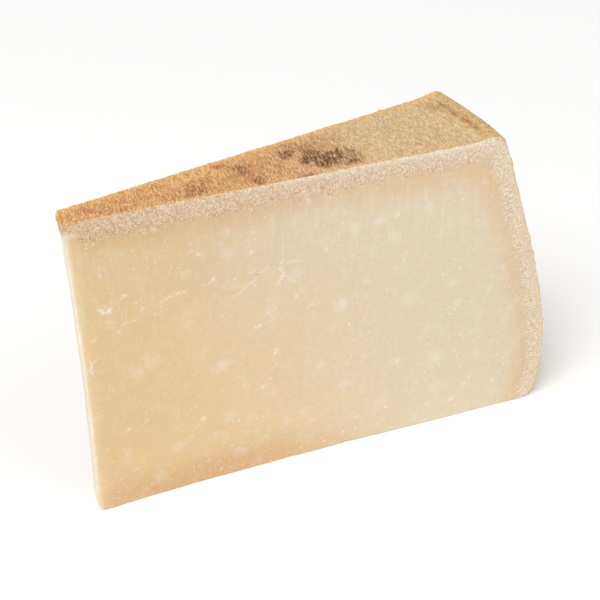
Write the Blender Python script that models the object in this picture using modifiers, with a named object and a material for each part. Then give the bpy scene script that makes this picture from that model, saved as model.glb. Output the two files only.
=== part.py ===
"""A chunk of parmesan: a narrow wedge of the upper half of a cheese wheel.

The wheel is turned from its profile: a flat top, a slightly raised and rounded rim, and a
side that swells towards the belly. Four cuts free the chunk from it: one along each side of
the wedge, one across its tip, and one level cut under the belly, on which the chunk stands.
All four belong to one block, and the chunk is what the wheel and the block share.

The model is in metres, +Z up. +X runs along the wedge from the tip to the heel, and -Y is
the front cut. The origin is the centre of the chunk's bounding box, on the base cut.
"""

import math

import bmesh
import bpy

# The wheel
CHUNK_HEIGHT = 0.118  # from the base cut up to the wheel's flat top
BELLY_RADIUS = 0.215  # the wheel's largest radius
BELLY_HEIGHT = 0.021  # height of the belly above the base cut
BELLY_ROUND = 0.032  # how far from the belly the side's curve straightens out
SIDE_TAPER = 0.375  # beyond that, how far the side draws in for each unit of height
RIM_ROUND = 0.004  # radius of the rounded rim
RIM_RISE = 0.001  # the rim stands this far above the flat top
RIM_RISE_WIDTH = 0.010  # radial width of the slope that leads up to it
WHEEL_OVERLAP = 0.010  # the turned wheel goes on this far below the base cut

# The cuts
WEDGE_ANGLE = math.radians(12)  # between the front cut and the back cut
TIP_DISTANCE = 0.0401  # from the wheel's axis to the front corner of the tip
TIP_SLANT = math.radians(9)  # the tip cut falls back by this angle towards the back
TIP_HOLLOW = 0.0012  # the tip cut is hollow by this much at mid-height
FRONT_FOOT_HOLLOW = 0.0019  # the front cut is hollow by this much along its foot
BACK_HOLLOW = 0.0008  # the back cut is hollow by this much in the middle
CUT_OVERLAP = 0.010  # the cuts run this far past the wheel's top and side

# Facets
WHEEL_STEPS = 180  # facets round the whole wheel
RIM_STEPS = 6
SIDE_STEPS = 40
CUTS_ALONG = 35
CUTS_ACROSS = 5
CUTS_UP = 23

PASTE_COLOR = (0.76, 0.60, 0.38, 1.0)
PASTE_ROUGHNESS = 0.55

HALF_ANGLE = WEDGE_ANGLE / 2
HALF_LENGTH = (BELLY_RADIUS - TIP_DISTANCE) / 2
WHEEL_AXIS_X = -(TIP_DISTANCE + HALF_LENGTH)  # the axis lies this far from the origin


def smooth_step(t):
    """Ease from 0 to 1 as t goes from 0 to 1."""
    return t * t * (3 - 2 * t)


def broad_arch(t):
    """A flat-topped arch over 0 to 1 that is 0 at both ends and 1 in the middle."""
    return 1 - (2 * t - 1) ** 4


def side_radius(z):
    """Radius of the wheel's side at height z: a hyperbola, round at the belly."""
    return BELLY_RADIUS - SIDE_TAPER * (math.hypot(z - BELLY_HEIGHT, BELLY_ROUND) - BELLY_ROUND)


def wheel_profile():
    """Radius and height along the wheel's outline, from the top's centre down the outer side."""
    rise = CHUNK_HEIGHT - BELLY_HEIGHT
    lean = math.atan(SIDE_TAPER * rise / math.hypot(rise, BELLY_ROUND))
    rim_top = CHUNK_HEIGHT + RIM_RISE
    round_z = rim_top - RIM_ROUND
    round_r = side_radius(round_z) - RIM_ROUND / math.cos(lean)
    profile = [(0.0, CHUNK_HEIGHT)]
    for step in range(RIM_STEPS + 1):
        t = step / RIM_STEPS
        profile.append((round_r - RIM_RISE_WIDTH * (1 - t), CHUNK_HEIGHT + RIM_RISE * smooth_step(t)))
    for step in range(1, RIM_STEPS + 1):
        turn = math.pi / 2 + (lean - math.pi / 2) * step / RIM_STEPS
        profile.append((round_r + RIM_ROUND * math.cos(turn), round_z + RIM_ROUND * math.sin(turn)))
    side_top = profile[-1][1]
    for step in range(1, SIDE_STEPS + 1):
        z = side_top + (-WHEEL_OVERLAP - side_top) * step / SIDE_STEPS
        profile.append((side_radius(z), z))
    profile.append((0.0, -WHEEL_OVERLAP))
    return profile


def make_wheel(collection):
    """The turned wheel, with its axis at its object's origin."""
    mesh = bpy.data.meshes.new("cheese_wedge")
    bm = bmesh.new()
    points = [bm.verts.new((radius, 0.0, z)) for radius, z in wheel_profile()]
    for upper, lower in zip(points, points[1:]):
        bm.edges.new((upper, lower))
    bm.to_mesh(mesh)
    bm.free()
    wheel = bpy.data.objects.new("cheese_wedge", mesh)
    wheel.location.x = WHEEL_AXIS_X
    collection.objects.link(wheel)
    screw = wheel.modifiers.new("turn", "SCREW")
    screw.axis = "Z"
    screw.steps = WHEEL_STEPS
    screw.render_steps = WHEEL_STEPS
    screw.use_merge_vertices = True
    screw.merge_threshold = 0.00001
    screw.use_smooth_shade = True
    return wheel


def block_point(u, v, w):
    """Place a point of the block of cuts: u runs tip to heel, v front to back, w base to top."""
    z = w * (CHUNK_HEIGHT + CUT_OVERLAP)
    up = min(1.0, z / CHUNK_HEIGHT)
    tip_width = 2 * TIP_DISTANCE * math.tan(HALF_ANGLE)
    tip = TIP_DISTANCE + v * tip_width * math.tan(TIP_SLANT) + TIP_HOLLOW * math.sin(math.pi * up)
    x = tip + u * (BELLY_RADIUS + CUT_OVERLAP - tip)
    along = min(1.0, (x - TIP_DISTANCE) / (BELLY_RADIUS - TIP_DISTANCE))
    front = -x * math.tan(HALF_ANGLE) + FRONT_FOOT_HOLLOW * broad_arch(along) * (1 - up) ** 2
    back = x * math.tan(HALF_ANGLE) - BACK_HOLLOW * broad_arch(along) * broad_arch(up)
    return x, front + v * (back - front), z


def subdivide_along(bm, axis, cuts):
    """Divide every edge that runs along an axis (0 for X, 1 for Y, 2 for Z)."""
    edges = []
    for edge in bm.edges:
        run = edge.verts[1].co - edge.verts[0].co
        if abs(run[axis]) > 0.5 * run.length:
            edges.append(edge)
    bmesh.ops.subdivide_edges(bm, edges=edges, cuts=cuts, use_grid_fill=True)


def make_block(collection):
    """The block whose sides are the front, back, tip and base cuts."""
    mesh = bpy.data.meshes.new("block_of_cuts")
    bm = bmesh.new()
    bmesh.ops.create_cube(bm, size=1.0)
    subdivide_along(bm, 0, CUTS_ALONG)
    subdivide_along(bm, 1, CUTS_ACROSS)
    subdivide_along(bm, 2, CUTS_UP)
    for vert in bm.verts:
        vert.co = block_point(*(part + 0.5 for part in vert.co))
    bm.to_mesh(mesh)
    bm.free()
    block = bpy.data.objects.new("block_of_cuts", mesh)
    block.location.x = WHEEL_AXIS_X
    block.hide_render = True
    block.display_type = "WIRE"
    collection.objects.link(block)
    return block


def make_material():
    """The pale paste of the cut cheese."""
    material = bpy.data.materials.new("cheese_paste")
    material.use_nodes = True
    shader = material.node_tree.nodes["Principled BSDF"]
    shader.inputs["Base Color"].default_value = PASTE_COLOR
    shader.inputs["Roughness"].default_value = PASTE_ROUGHNESS
    shader.inputs["Metallic"].default_value = 0.0
    return material


def make_collection(name):
    """A new collection in the scene."""
    collection = bpy.data.collections.new(name)
    bpy.context.scene.collection.children.link(collection)
    return collection


def main():
    for old in list(bpy.data.objects):
        bpy.data.objects.remove(old)
    wedge = make_wheel(make_collection("parmesan_chunk"))
    wedge.data.materials.append(make_material())
    cuts = wedge.modifiers.new("cuts", "BOOLEAN")
    cuts.operation = "INTERSECT"
    cuts.solver = "EXACT"
    cuts.object = make_block(make_collection("cutters"))


main()
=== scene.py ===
"""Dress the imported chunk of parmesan: its paste, rind, grain, flecks, crystals and tears.

The chunk is a narrow wedge of the upper half of a cheese wheel. Its rind is left on the top
and on the swelling heel. The front, back, tip and base are cuts, and on them the rind shows
as a dry, granular band round the smooth paste.

Everything is in metres, +Z up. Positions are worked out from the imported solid's box and the
sizes of the wheel and the cuts in ChunkForm.
"""

import logging
import math
from collections.abc import Callable, Iterable, Mapping, Sequence
from dataclasses import dataclass, field
from enum import Enum

import bmesh
import bpy
import numpy as np
from mathutils import Euler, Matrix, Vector, noise

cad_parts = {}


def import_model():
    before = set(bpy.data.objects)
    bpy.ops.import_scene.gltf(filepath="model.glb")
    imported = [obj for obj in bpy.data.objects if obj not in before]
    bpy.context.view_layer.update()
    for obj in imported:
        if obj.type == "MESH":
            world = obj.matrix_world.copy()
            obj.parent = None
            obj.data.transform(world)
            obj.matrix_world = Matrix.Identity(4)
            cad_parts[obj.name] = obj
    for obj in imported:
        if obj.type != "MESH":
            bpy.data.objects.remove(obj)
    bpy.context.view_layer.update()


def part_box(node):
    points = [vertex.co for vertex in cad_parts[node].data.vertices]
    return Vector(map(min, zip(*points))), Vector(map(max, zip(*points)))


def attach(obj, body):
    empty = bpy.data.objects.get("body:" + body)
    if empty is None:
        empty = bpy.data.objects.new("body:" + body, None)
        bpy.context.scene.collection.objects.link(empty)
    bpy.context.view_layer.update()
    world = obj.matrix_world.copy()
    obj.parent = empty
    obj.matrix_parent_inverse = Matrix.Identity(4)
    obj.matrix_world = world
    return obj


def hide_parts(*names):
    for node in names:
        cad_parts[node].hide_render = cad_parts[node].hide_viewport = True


LOG = logging.getLogger("parmesan")
MM = 0.001
NODE = "cheese_wedge"
BODY = "root"
TINY = 1e-6  # two places over 0 to 1 that differ by less are the same

Array = np.ndarray
Colour = tuple[float, float, float]
Number = "float | Wire"
Weigher = Callable[[Array, Array], Array]


# ---------------------------------------------------------------- small helpers


def smooth(value: Array, low: float, high: float) -> Array:
    """Ease from 0 at low to 1 at high."""
    t = np.clip((value - low) / (high - low), 0.0, 1.0)
    return t * t * (3 - 2 * t)


def hill(distance: Array, width: float) -> Array:
    """A round hill, 1 at distance 0, that has faded to a third at its width."""
    return np.exp(-((distance / width) ** 2))


def broad_arch(t: Array) -> Array:
    """A flat-topped arch over 0 to 1 that is 0 at both ends and 1 in the middle."""
    return 1 - (2 * t - 1) ** 4


def noise_at(points: Array, size: float, seed: float = 0.0) -> Array:
    """Soft noise at points, from about -0.9 to 0.9. It changes over a size; a seed shifts it."""
    return np.array([noise.noise(p) for p in (points / size + seed).tolist()])


def unit(rows: Array) -> Array:
    """Rows scaled to a length of 1."""
    return rows / np.maximum(np.linalg.norm(rows, axis=1), 1e-9)[:, None]


def srgb(red: int, green: int, blue: int) -> Colour:
    """A colour from its display values, from 0 to 255, as linear values."""
    parts = [c / 255 for c in (red, green, blue)]
    return tuple(c / 12.92 if c <= 0.04045 else ((c + 0.055) / 1.055) ** 2.4 for c in parts)


def read(items: bpy.types.bpy_prop_collection, name: str, kind: type, each: int = 1) -> Array:
    """A property of every item as one flat row of numbers, one or more from each item."""
    values = np.empty(len(items) * each, kind)
    items.foreach_get(name, values)
    return values


def points_of(mesh: bpy.types.Mesh) -> Array:
    """A mesh's vertex positions, one row each."""
    return read(mesh.vertices, "co", np.float32, 3).reshape(-1, 3).astype(float)


def move_points(mesh: bpy.types.Mesh, points: Array) -> None:
    """Put a mesh's vertices at the given positions."""
    mesh.vertices.foreach_set("co", points.astype(np.float32).ravel())
    mesh.update()


def store(mesh: bpy.types.Mesh, **kept: Array) -> None:
    """Keep numbers on a mesh's vertices by name, for the finish to read."""
    for name, values in kept.items():
        mesh.attributes.new(name, "FLOAT", "POINT").data.foreach_set("value", values.astype(np.float32))


def mesh_of(bm: bmesh.types.BMesh, name: str) -> bpy.types.Mesh:
    """Turn a shape into a mesh, and let go of the shape."""
    mesh = bpy.data.meshes.new(name)
    bm.to_mesh(mesh)
    bm.free()
    return mesh


def add_piece(name: str, mesh: bpy.types.Mesh, material: bpy.types.Material) -> bpy.types.Object:
    """Link a mesh as a piece that rides with the chunk.

    Args:
        name: the piece's name.
        mesh: its mesh, already in place.
        material: its finish.

    Returns:
        The new object.
    """
    mesh.name = name
    mesh.materials.append(material)
    mesh.polygons.foreach_set("use_smooth", [True] * len(mesh.polygons))
    piece = bpy.data.objects.new(name, mesh)
    bpy.context.scene.collection.objects.link(piece)
    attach(piece, BODY)
    LOG.info("%s: %d triangles", name, sum(len(p.vertices) - 2 for p in mesh.polygons))
    return piece


# ---------------------------------------------------------------- the chunk's form


@dataclass(frozen=True)
class ChunkForm:
    """The chunk's outside: the wheel's profile and the four cuts, in metres."""

    axis_x: float  # the wheel's axis
    height: float = 0.118  # from the base cut up to the flat top
    belly_radius: float = 0.215
    belly_height: float = 0.021
    belly_round: float = 0.032
    side_taper: float = 0.375
    rim_round: float = 0.004
    rim_rise: float = 0.001
    rim_rise_width: float = 0.010
    half_angle: float = math.radians(6)
    tip_distance: float = 0.0401
    tip_slant: float = math.radians(9)
    tip_hollow: float = 0.0012
    foot_hollow: float = 0.0019
    back_hollow: float = 0.0008

    @classmethod
    def from_frame(cls) -> "ChunkForm":
        """The form in its place: the tip's front corner is the solid's lowest X."""
        low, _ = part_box(NODE)
        return cls(axis_x=low.x - cls.tip_distance)

    @property
    def lean(self) -> float:
        """How far the side leans in from upright under the rim, in radians."""
        rise = self.height - self.belly_height
        return math.atan(self.side_taper * rise / math.hypot(rise, self.belly_round))

    @property
    def rim_radius(self) -> float:
        """The radius at which the flat top turns into the rounded rim."""
        round_z = self.height + self.rim_rise - self.rim_round
        return float(self.side_radius(round_z)) - self.rim_round / math.cos(self.lean)

    def side_radius(self, z: Array) -> Array:
        """The side's radius at height z."""
        swell = np.hypot(z - self.belly_height, self.belly_round) - self.belly_round
        return self.belly_radius - self.side_taper * swell

    def side_slope(self, z: Array) -> Array:
        """How fast the side's radius changes with height at z."""
        rise = z - self.belly_height
        return -self.side_taper * rise / np.hypot(rise, self.belly_round)

    def top_height(self, radius: Array) -> Array:
        """The top's height at a radius."""
        rim = self.rim_radius
        return self.height + self.rim_rise * smooth(radius, rim - self.rim_rise_width, rim)

    def shares(self, x: Array, z: Array) -> tuple[Array, Array]:
        """How far along and how far up a cut places lie, both from 0 to 1."""
        length = self.belly_radius - self.tip_distance
        return np.clip((x - self.tip_distance) / length, 0, 1), np.clip(z / self.height, 0, 1)

    def front_y(self, x: Array, z: Array) -> Array:
        """The front cut at a distance x from the axis and a height z."""
        along, up = self.shares(x, z)
        hollow = self.foot_hollow * broad_arch(along) * (1 - 0.55 * smooth(along, 0.45, 0.80))
        return -x * math.tan(self.half_angle) + hollow * (1 - up) ** 2

    def back_y(self, x: Array, z: Array) -> Array:
        """The back cut at a distance x from the axis and a height z."""
        along, up = self.shares(x, z)
        return x * math.tan(self.half_angle) - self.back_hollow * broad_arch(along) * broad_arch(up)

    def tip_x(self, across: Array, z: Array) -> Array:
        """The tip cut's distance from the axis: across runs from 0, front, to 1, back."""
        width = 2 * self.tip_distance * math.tan(self.half_angle)
        hollow = self.tip_hollow * np.sin(math.pi * self.shares(0.0, z)[1])
        return self.tip_distance + across * width * math.tan(self.tip_slant) + hollow

    def turn(self, across: Array) -> Array:
        """The angle about the axis at which a share of the width lies."""
        return np.arctan(math.tan(self.half_angle) * (2 * across - 1))

    def heel_x(self, across: Array, z: Array, inset: float) -> Array:
        """The side's distance from the axis, less an inset, at a share of the width."""
        return (self.side_radius(z) - inset) * np.cos(self.turn(across))

    def width(self, x: Array, z: Array) -> Array:
        """The distance from the front cut to the back cut."""
        return self.back_y(x, z) - self.front_y(x, z)

    def place(self, x: Array, across: Array, z: Array) -> Array:
        """Points in the frame from distances from the axis, shares of the width and heights."""
        y = self.front_y(x, z) + across * self.width(x, z)
        return np.column_stack([x + self.axis_x, y, z])

    def from_axis(self, points: Array) -> tuple[Array, Array, Array]:
        """Points' distances from the wheel's axis, their heights and their depths in its side."""
        radius, z = np.hypot(points[:, 0] - self.axis_x, points[:, 1]), points[:, 2]
        return radius, z, (self.side_radius(z) - radius) / np.hypot(1, self.side_slope(z))

    def rind_depth(self, points: Array) -> Array:
        """How deep points lie under the rind's outer face.

        Args:
            points: positions in the frame.

        Returns:
            Depths in metres. Near the rim, where two faces are close, they are less.
        """
        radius, z, under_side = self.from_axis(points)
        below_top = self.top_height(radius) - z
        blend = 7 * MM
        share = np.clip(0.5 + 0.5 * (under_side - below_top) / blend, 0, 1)
        return under_side * (1 - share) + below_top * share - blend * share * (1 - share)

    def run(self, points: Array) -> Array:
        """How far along the rind points lie: from the tip to the rim, then down the side.

        Args:
            points: positions in the frame.

        Returns:
            Distances in metres.
        """
        radius, z, under_side = self.from_axis(points)
        share = smooth(under_side - (self.height - z), -6 * MM, 6 * MM)
        on_top = radius - self.tip_distance
        on_side = self.rim_radius - self.tip_distance + (self.height - z) / math.cos(self.lean)
        return on_top * share + on_side * (1 - share)

    def by_back(self, points: Array) -> Array:
        """How near points lie to the back cut, from 1 on it to 0 a few millimetres away."""
        inside = self.back_y(points[:, 0] - self.axis_x, points[:, 2]) - points[:, 1]
        return 1 - smooth(inside + 1.2 * MM * noise_at(points, 2.1 * MM, 2.2), 0.3 * MM, 4.0 * MM)

    @staticmethod
    def band_relief(points: Array) -> Array:
        """How rough the cut rind is at each point, in metres, up or down."""
        return (0.12 * noise_at(points, 0.75 * MM, 1.1) + 0.07 * noise_at(points, 2.1 * MM, 2.2)) * MM

    def inward(self, points: Array) -> Array:
        """The direction at each point that leads away from the rind, as unit vectors."""
        step, here = 0.2 * MM, self.rind_depth(points)
        return unit(np.column_stack([self.rind_depth(points + step * axis) - here for axis in np.eye(3)]))


class Side(Enum):
    """A piece's sides, by the unit block's axis and end that each starts from."""

    TIP = (0, 0)
    HEEL = (0, 1)
    FRONT = (1, 0)
    BACK = (1, 1)
    BASE = (2, 0)
    TOP = (2, 1)

    def has(self, block: Array) -> Array:
        """Which places of a unit block lie on this side."""
        axis, end = self.value
        return np.abs(block[:, axis] - end) < TINY


def unit_block(cells: tuple[int, int, int]) -> bmesh.types.BMesh:
    """A closed block over 0 to 1 on each axis, with so many cells along X, Y and Z.

    Args:
        cells: how many cells it has along each axis.

    Returns:
        The block.
    """
    bm = bmesh.new()
    bmesh.ops.create_cube(bm, size=1.0)
    bmesh.ops.translate(bm, verts=bm.verts, vec=(0.5, 0.5, 0.5))
    for axis, count in enumerate(cells):
        runs = {edge: edge.verts[1].co - edge.verts[0].co for edge in bm.edges}
        edges = [edge for edge, run in runs.items() if abs(run[axis]) > 0.5 * run.length]
        bmesh.ops.subdivide_edges(bm, edges=edges, cuts=count - 1, use_grid_fill=True)
    return bm


def spaced(share: Array, cells: int, fine: Sequence[float], both: bool = False) -> Array:
    """Respace rows of cells, so that the first few lie close together.

    Args:
        share: places over 0 to 1 in evenly spaced rows.
        cells: the number of cells.
        fine: where the first rows go, over 0 to 1.
        both: also do the same at the other end.

    Returns:
        The new places over 0 to 1.
    """
    end = [1 - f for f in reversed(fine)] if both else []
    middle = cells - len(fine) - len(end)
    stop = end[0] if both else 1.0
    run = np.linspace(fine[-1], stop, middle + 1)[1 : None if not both else -1]
    rows = np.concatenate([[0.0], fine, run, end, [1.0] if both else []])
    return np.interp(share, np.linspace(0, 1, len(rows)), rows)


def outward(place: Array, size: Array, radius: Array) -> Array:
    """The outward direction at each point of a rounded block, in the block's own axes.

    Args:
        place: each point's distances from the block's three low sides.
        size: the block's three sizes at each point.
        radius: the arris radius at each point.

    Returns:
        Unit vectors, one row each.
    """
    return unit(place - np.clip(place, radius[:, None], size - radius[:, None]))


def rounded(place: Array, size: Array, radius: Array, lift: Array) -> Array:
    """A block's distances with its arrises rounded and its surface lifted by so much."""
    core = np.clip(place, radius[:, None], size - radius[:, None])
    return core + outward(place, size, radius) * (radius + lift)[:, None]


# ---------------------------------------------------------------- laying out maps


@dataclass(frozen=True)
class Patch:
    """A part of a piece's surface on its flat map, all in metres on the map."""

    faces: Array  # which faces it has
    flat: Array  # each vertex's place in the patch
    corner: tuple[float, float]  # where the patch's origin goes on the map
    scale: float = 1.0


def lay_out(mesh: bpy.types.Mesh, patches: Iterable[Patch], side: float) -> None:
    """Give a piece a map with its patches side by side.

    Args:
        mesh: the piece's mesh.
        patches: its patches. Together they have every face.
        side: the length of the map's side.
    """
    counts = read(mesh.polygons, "loop_total", np.int64)
    corners = read(mesh.loops, "vertex_index", np.int64)
    places = np.zeros((len(corners), 2))
    for patch in patches:
        mine = np.repeat(patch.faces, counts)
        places[mine] = (patch.flat[corners[mine]] * patch.scale + patch.corner) / side
    layer = mesh.uv_layers.new(name="OFBake")
    layer.data.foreach_set("uv", places.astype(np.float32).ravel())


def whole_faces(mesh: bpy.types.Mesh, chosen: Array) -> Array:
    """Which faces have all their vertices among the chosen ones."""
    corners = read(mesh.loops, "vertex_index", np.int64)
    return np.logical_and.reduceat(chosen[corners], read(mesh.polygons, "loop_start", np.int64))


# ---------------------------------------------------------------- shader wiring


def operator(operation: str, swapped: bool = False) -> Callable[["Wire", Number], "Wire"]:
    """An operator for Wire that adds a Math node.

    Args:
        operation: what the node does.
        swapped: whether the other number goes first.

    Returns:
        The operator.
    """

    def apply(wire: "Wire", other: Number) -> "Wire":
        """Wire up the node."""
        pair = (other, wire) if swapped else (wire, other)
        return wire.bench.node("ShaderNodeMath", {"operation": operation}, dict(enumerate(pair)))

    return apply


@dataclass(frozen=True)
class Wire:
    """A number that varies over a surface, with arithmetic that adds Math nodes."""

    bench: "Bench"
    socket: bpy.types.NodeSocket

    __add__ = __radd__ = operator("ADD")
    __mul__ = __rmul__ = operator("MULTIPLY")
    __sub__ = operator("SUBTRACT")
    __rsub__ = operator("SUBTRACT", swapped=True)
    __truediv__ = operator("DIVIDE")

    def clamp(self) -> "Wire":
        """This, held between 0 and 1."""
        return self.ease(0.0, 1.0, "LINEAR")

    def ease(self, low: Number, high: Number, shape: str = "SMOOTHSTEP") -> "Wire":
        """Go from 0 at low to 1 at high, and stay there."""
        settings = {"interpolation_type": shape, "clamp": True}
        inputs = {"Value": self, "From Min": low, "From Max": high}
        return self.bench.node("ShaderNodeMapRange", settings, inputs)


class Bench:
    """A finish in the making: a material and the nodes that it is wired from."""

    def __init__(self, name: str) -> None:
        """Start a material with an empty Principled shader."""
        self.material = bpy.data.materials.new(name)
        self.material.use_nodes = True
        self.tree = self.material.node_tree
        self.shader = self.tree.nodes["Principled BSDF"]

    def feed(self, socket: bpy.types.NodeSocket, value: object) -> None:
        """Link a wire to a socket, or set the socket's own value."""
        if isinstance(value, Wire):
            self.tree.links.new(value.socket, socket)
        else:
            socket.default_value = (*value, 1.0) if socket.type == "RGBA" else value

    def node(
        self,
        kind: str,
        settings: Mapping[str, object] | None = None,
        inputs: Mapping[str | int, object] | None = None,
        output: str | int = 0,
    ) -> Wire:
        """Add a node.

        Args:
            kind: the node's type.
            settings: its properties, which are set first.
            inputs: values or wires for its sockets, by name or number.
            output: the socket to hand back.

        Returns:
            The chosen output.
        """
        node = self.tree.nodes.new(kind)
        for name, value in (settings or {}).items():
            setattr(node, name, value)
        for name, value in (inputs or {}).items():
            self.feed(node.inputs[name], value)
        return Wire(self, node.outputs[output])

    def kept(self, name: str) -> Wire:
        """A number kept on the vertices."""
        return self.node("ShaderNodeAttribute", {"attribute_name": name}, output="Fac")

    def place(self) -> Wire:
        """The position on the piece, in metres."""
        return self.node("ShaderNodeTexCoord", output="Object")

    def parts(self, vector: Wire | None = None) -> tuple[Wire, Wire, Wire]:
        """A vector's X, Y and Z; those of the position, if no other vector is given."""
        split = self.node("ShaderNodeSeparateXYZ", inputs={0: vector or self.place()})
        return tuple(Wire(self, socket) for socket in split.socket.node.outputs)

    def joined(self, x: Number, y: Number, z: Number) -> Wire:
        """A vector from three numbers."""
        return self.node("ShaderNodeCombineXYZ", inputs={"X": x, "Y": y, "Z": z})

    def counted(
        self, cell: Sequence[float], turn: Sequence[float] = (0, 0, 0), at: Wire | None = None
    ) -> Wire:
        """A position counted in cells of three sizes, which may be turned, for a pattern to lie on."""
        inputs = {"Vector": at or self.place(), "Rotation": tuple(turn)}
        turned = self.node("ShaderNodeMapping", {"vector_type": "POINT"}, inputs)
        per_metre = tuple(1 / size for size in cell)
        return self.node("ShaderNodeVectorMath", {"operation": "MULTIPLY"}, {0: turned, 1: per_metre})

    def cloud(self, vector: Wire, detail: float = 2.0, rough: float = 0.5) -> Wire:
        """Soft noise from 0 to 1 over a position counted in cells, with finer layers in it."""
        inputs = {"Vector": vector, "Scale": 1.0, "Detail": detail, "Roughness": rough}
        return self.node("ShaderNodeTexNoise", inputs=inputs)

    def mottle(
        self,
        cell: float | Sequence[float],
        detail: float = 2.0,
        rough: float = 0.5,
        turn: Sequence[float] = (0, 0, 0),
    ) -> Wire:
        """Soft noise from 0 to 1 over the piece, its cells of one size or three."""
        sizes = (cell,) * 3 if isinstance(cell, float) else cell
        return self.cloud(self.counted(sizes, turn), detail, rough)

    def cells(self, vector: Wire) -> tuple[Wire, Wire]:
        """The distance to the nearest of many scattered points, and a random number of its own."""
        near = self.node("ShaderNodeTexVoronoi", {"feature": "F1"}, {"Vector": vector, "Scale": 1.0})
        return near, self.parts(Wire(self, near.socket.node.outputs["Color"]))[0]

    def blend(self, share: Number, first: object, second: object, way: str = "MIX") -> Wire:
        """Mix a share of a second colour into a first, in the way that is asked for."""
        settings = {"data_type": "RGBA", "blend_type": way, "clamp_factor": True}
        return self.node("ShaderNodeMix", settings, {0: share, 6: first, 7: second}, 2)

    def layers(self, colour: Wire, *layers: tuple) -> Wire:
        """Lay colours over a first one, each from its share, its colour and perhaps its way."""
        for share, *rest in layers:
            colour = self.blend(share, colour, *rest)
        return colour

    def finish(
        self, inputs: Mapping[str, object], relief: Wire | None = None, depth: float = 0.0
    ) -> bpy.types.Material:
        """Wire up the shader.

        Args:
            inputs: values or wires for its sockets.
            relief: a height that is too fine for the mesh, from 0 to 1.
            depth: how high a relief of 1 stands, in metres.

        Returns:
            The finished material.
        """
        if relief is not None:
            bump = self.node("ShaderNodeBump", inputs={"Distance": depth, "Height": relief})
            inputs = {**inputs, "Normal": bump}
        for name, value in inputs.items():
            self.feed(self.shader.inputs[name], value)
        return self.material


# ---------------------------------------------------------------- finishes


@dataclass(frozen=True)
class CutRind:
    """The rind where it is cut: short pale fibres on a tan ground, thinning out inwards."""

    tip_ground: Colour = srgb(197, 156, 113)
    heel_ground: Colour = srgb(212, 184, 147)
    tip_fibre: Colour = srgb(226, 207, 183)
    heel_fibre: Colour = srgb(236, 229, 215)
    warmth: Colour = srgb(255, 244, 226)  # multiplies the inner half
    beside_tip: Colour = srgb(234, 216, 182)
    beside_side: Colour = srgb(222, 186, 134)
    along: float = 0.50 * MM  # size of a fibre along the rind
    inwards: float = 0.95 * MM
    across: float = 0.60 * MM
    border: float = 7.0 * MM  # mean depth at which the fibres stop

    def wire(self, bench: Bench) -> tuple[Wire, Wire, Wire]:
        """Wire the fibres.

        Args:
            bench: the finish in the making. Its piece carries run and rind_depth.

        Returns:
            Their colour, a mask that is 1 where they lie, and a relief from 0 to 1.
        """
        run, depth = bench.kept("run"), bench.kept("rind_depth")
        curl = bench.mottle(0.0014, 1.0) - 0.5
        lie = (run / self.along + curl * 2.4, depth / self.inwards + curl, bench.parts()[1] / self.across)
        fibres = bench.cloud(bench.joined(*lie), 1.0)
        clumps = bench.mottle(0.0024, 2.0, 0.6)
        heel = run.ease(-0.01, 0.165, "LINEAR")
        pale = bench.blend(heel, self.tip_fibre, self.heel_fibre)
        swirl = bench.mottle(0.0009, 0.0)
        curly = 1 - ((swirl - 0.5) * (swirl - 0.5) * 90.0).clamp()
        share = (fibres * 0.85 + clumps * 0.15).ease(0.40, 0.62) * 0.60 + curly * 0.42
        at_arris = 1 - (depth + (fibres - 0.5) * 0.002).ease(0.0004, 0.0022)
        share = (share + at_arris * run.ease(0.045, 0.085) * 0.34).clamp()
        reach = depth + (clumps - 0.5) * 0.0075 + (fibres - 0.5) * 0.004
        mask = 1 - reach.ease(self.border - 0.9 * MM, self.border + 0.7 * MM)
        beside = 1 - (run + (clumps - 0.5) * 0.004).ease(0.0010, 0.0065)
        beside = beside * depth.ease(0.0022, 0.0042)
        outermost = (1 - (depth + (swirl - 0.5) * 0.003).ease(0.0010, 0.0034)) * run.ease(0.150, 0.166)
        colour = bench.layers(
            bench.blend(heel, self.tip_ground, self.heel_ground),
            (depth.ease(0.002, 0.006), self.warmth, "MULTIPLY"),
            (share, pale),
            (outermost * (0.60 - curly * 0.30), self.beside_side),
            (beside * 0.85, self.beside_tip),
        )
        return colour, mask * (1 - beside * depth.ease(0.0040, 0.0066)), fibres


@dataclass(frozen=True)
class Scuff:
    """A patch of fine scratches on the front cut, in millimetres on that cut."""

    x: float
    up: float
    half_length: float
    half_height: float
    heading: float  # the way the scratches run, in degrees up from the level
    strength: float
    long: float = 15 * MM  # about how long and wide a scratch is
    fine: float = 0.30 * MM

    def wire(self, bench: Bench) -> Wire:
        """Wire the scratches.

        Args:
            bench: the finish in the making. Its piece carries tip_depth.

        Returns:
            Their mask.
        """
        along = bench.kept("tip_depth")
        _, y, z = bench.parts()
        turn = (0.0, 0.0, -math.radians(self.heading))
        flat = bench.joined(along, z, 0.0)
        lines = bench.cloud(bench.counted((self.long, self.fine, 1.0), turn, flat), 1.0)
        across = (along - self.x * MM) / (self.half_length * MM)
        up = (z - self.up * MM) / (self.half_height * MM)
        inside = 1 - (across * across + up * up).ease(0.2, 1.1)
        return inside * lines.ease(0.57, 0.72) * (1 - y.ease(-0.002, 0.0)) * self.strength


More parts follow.
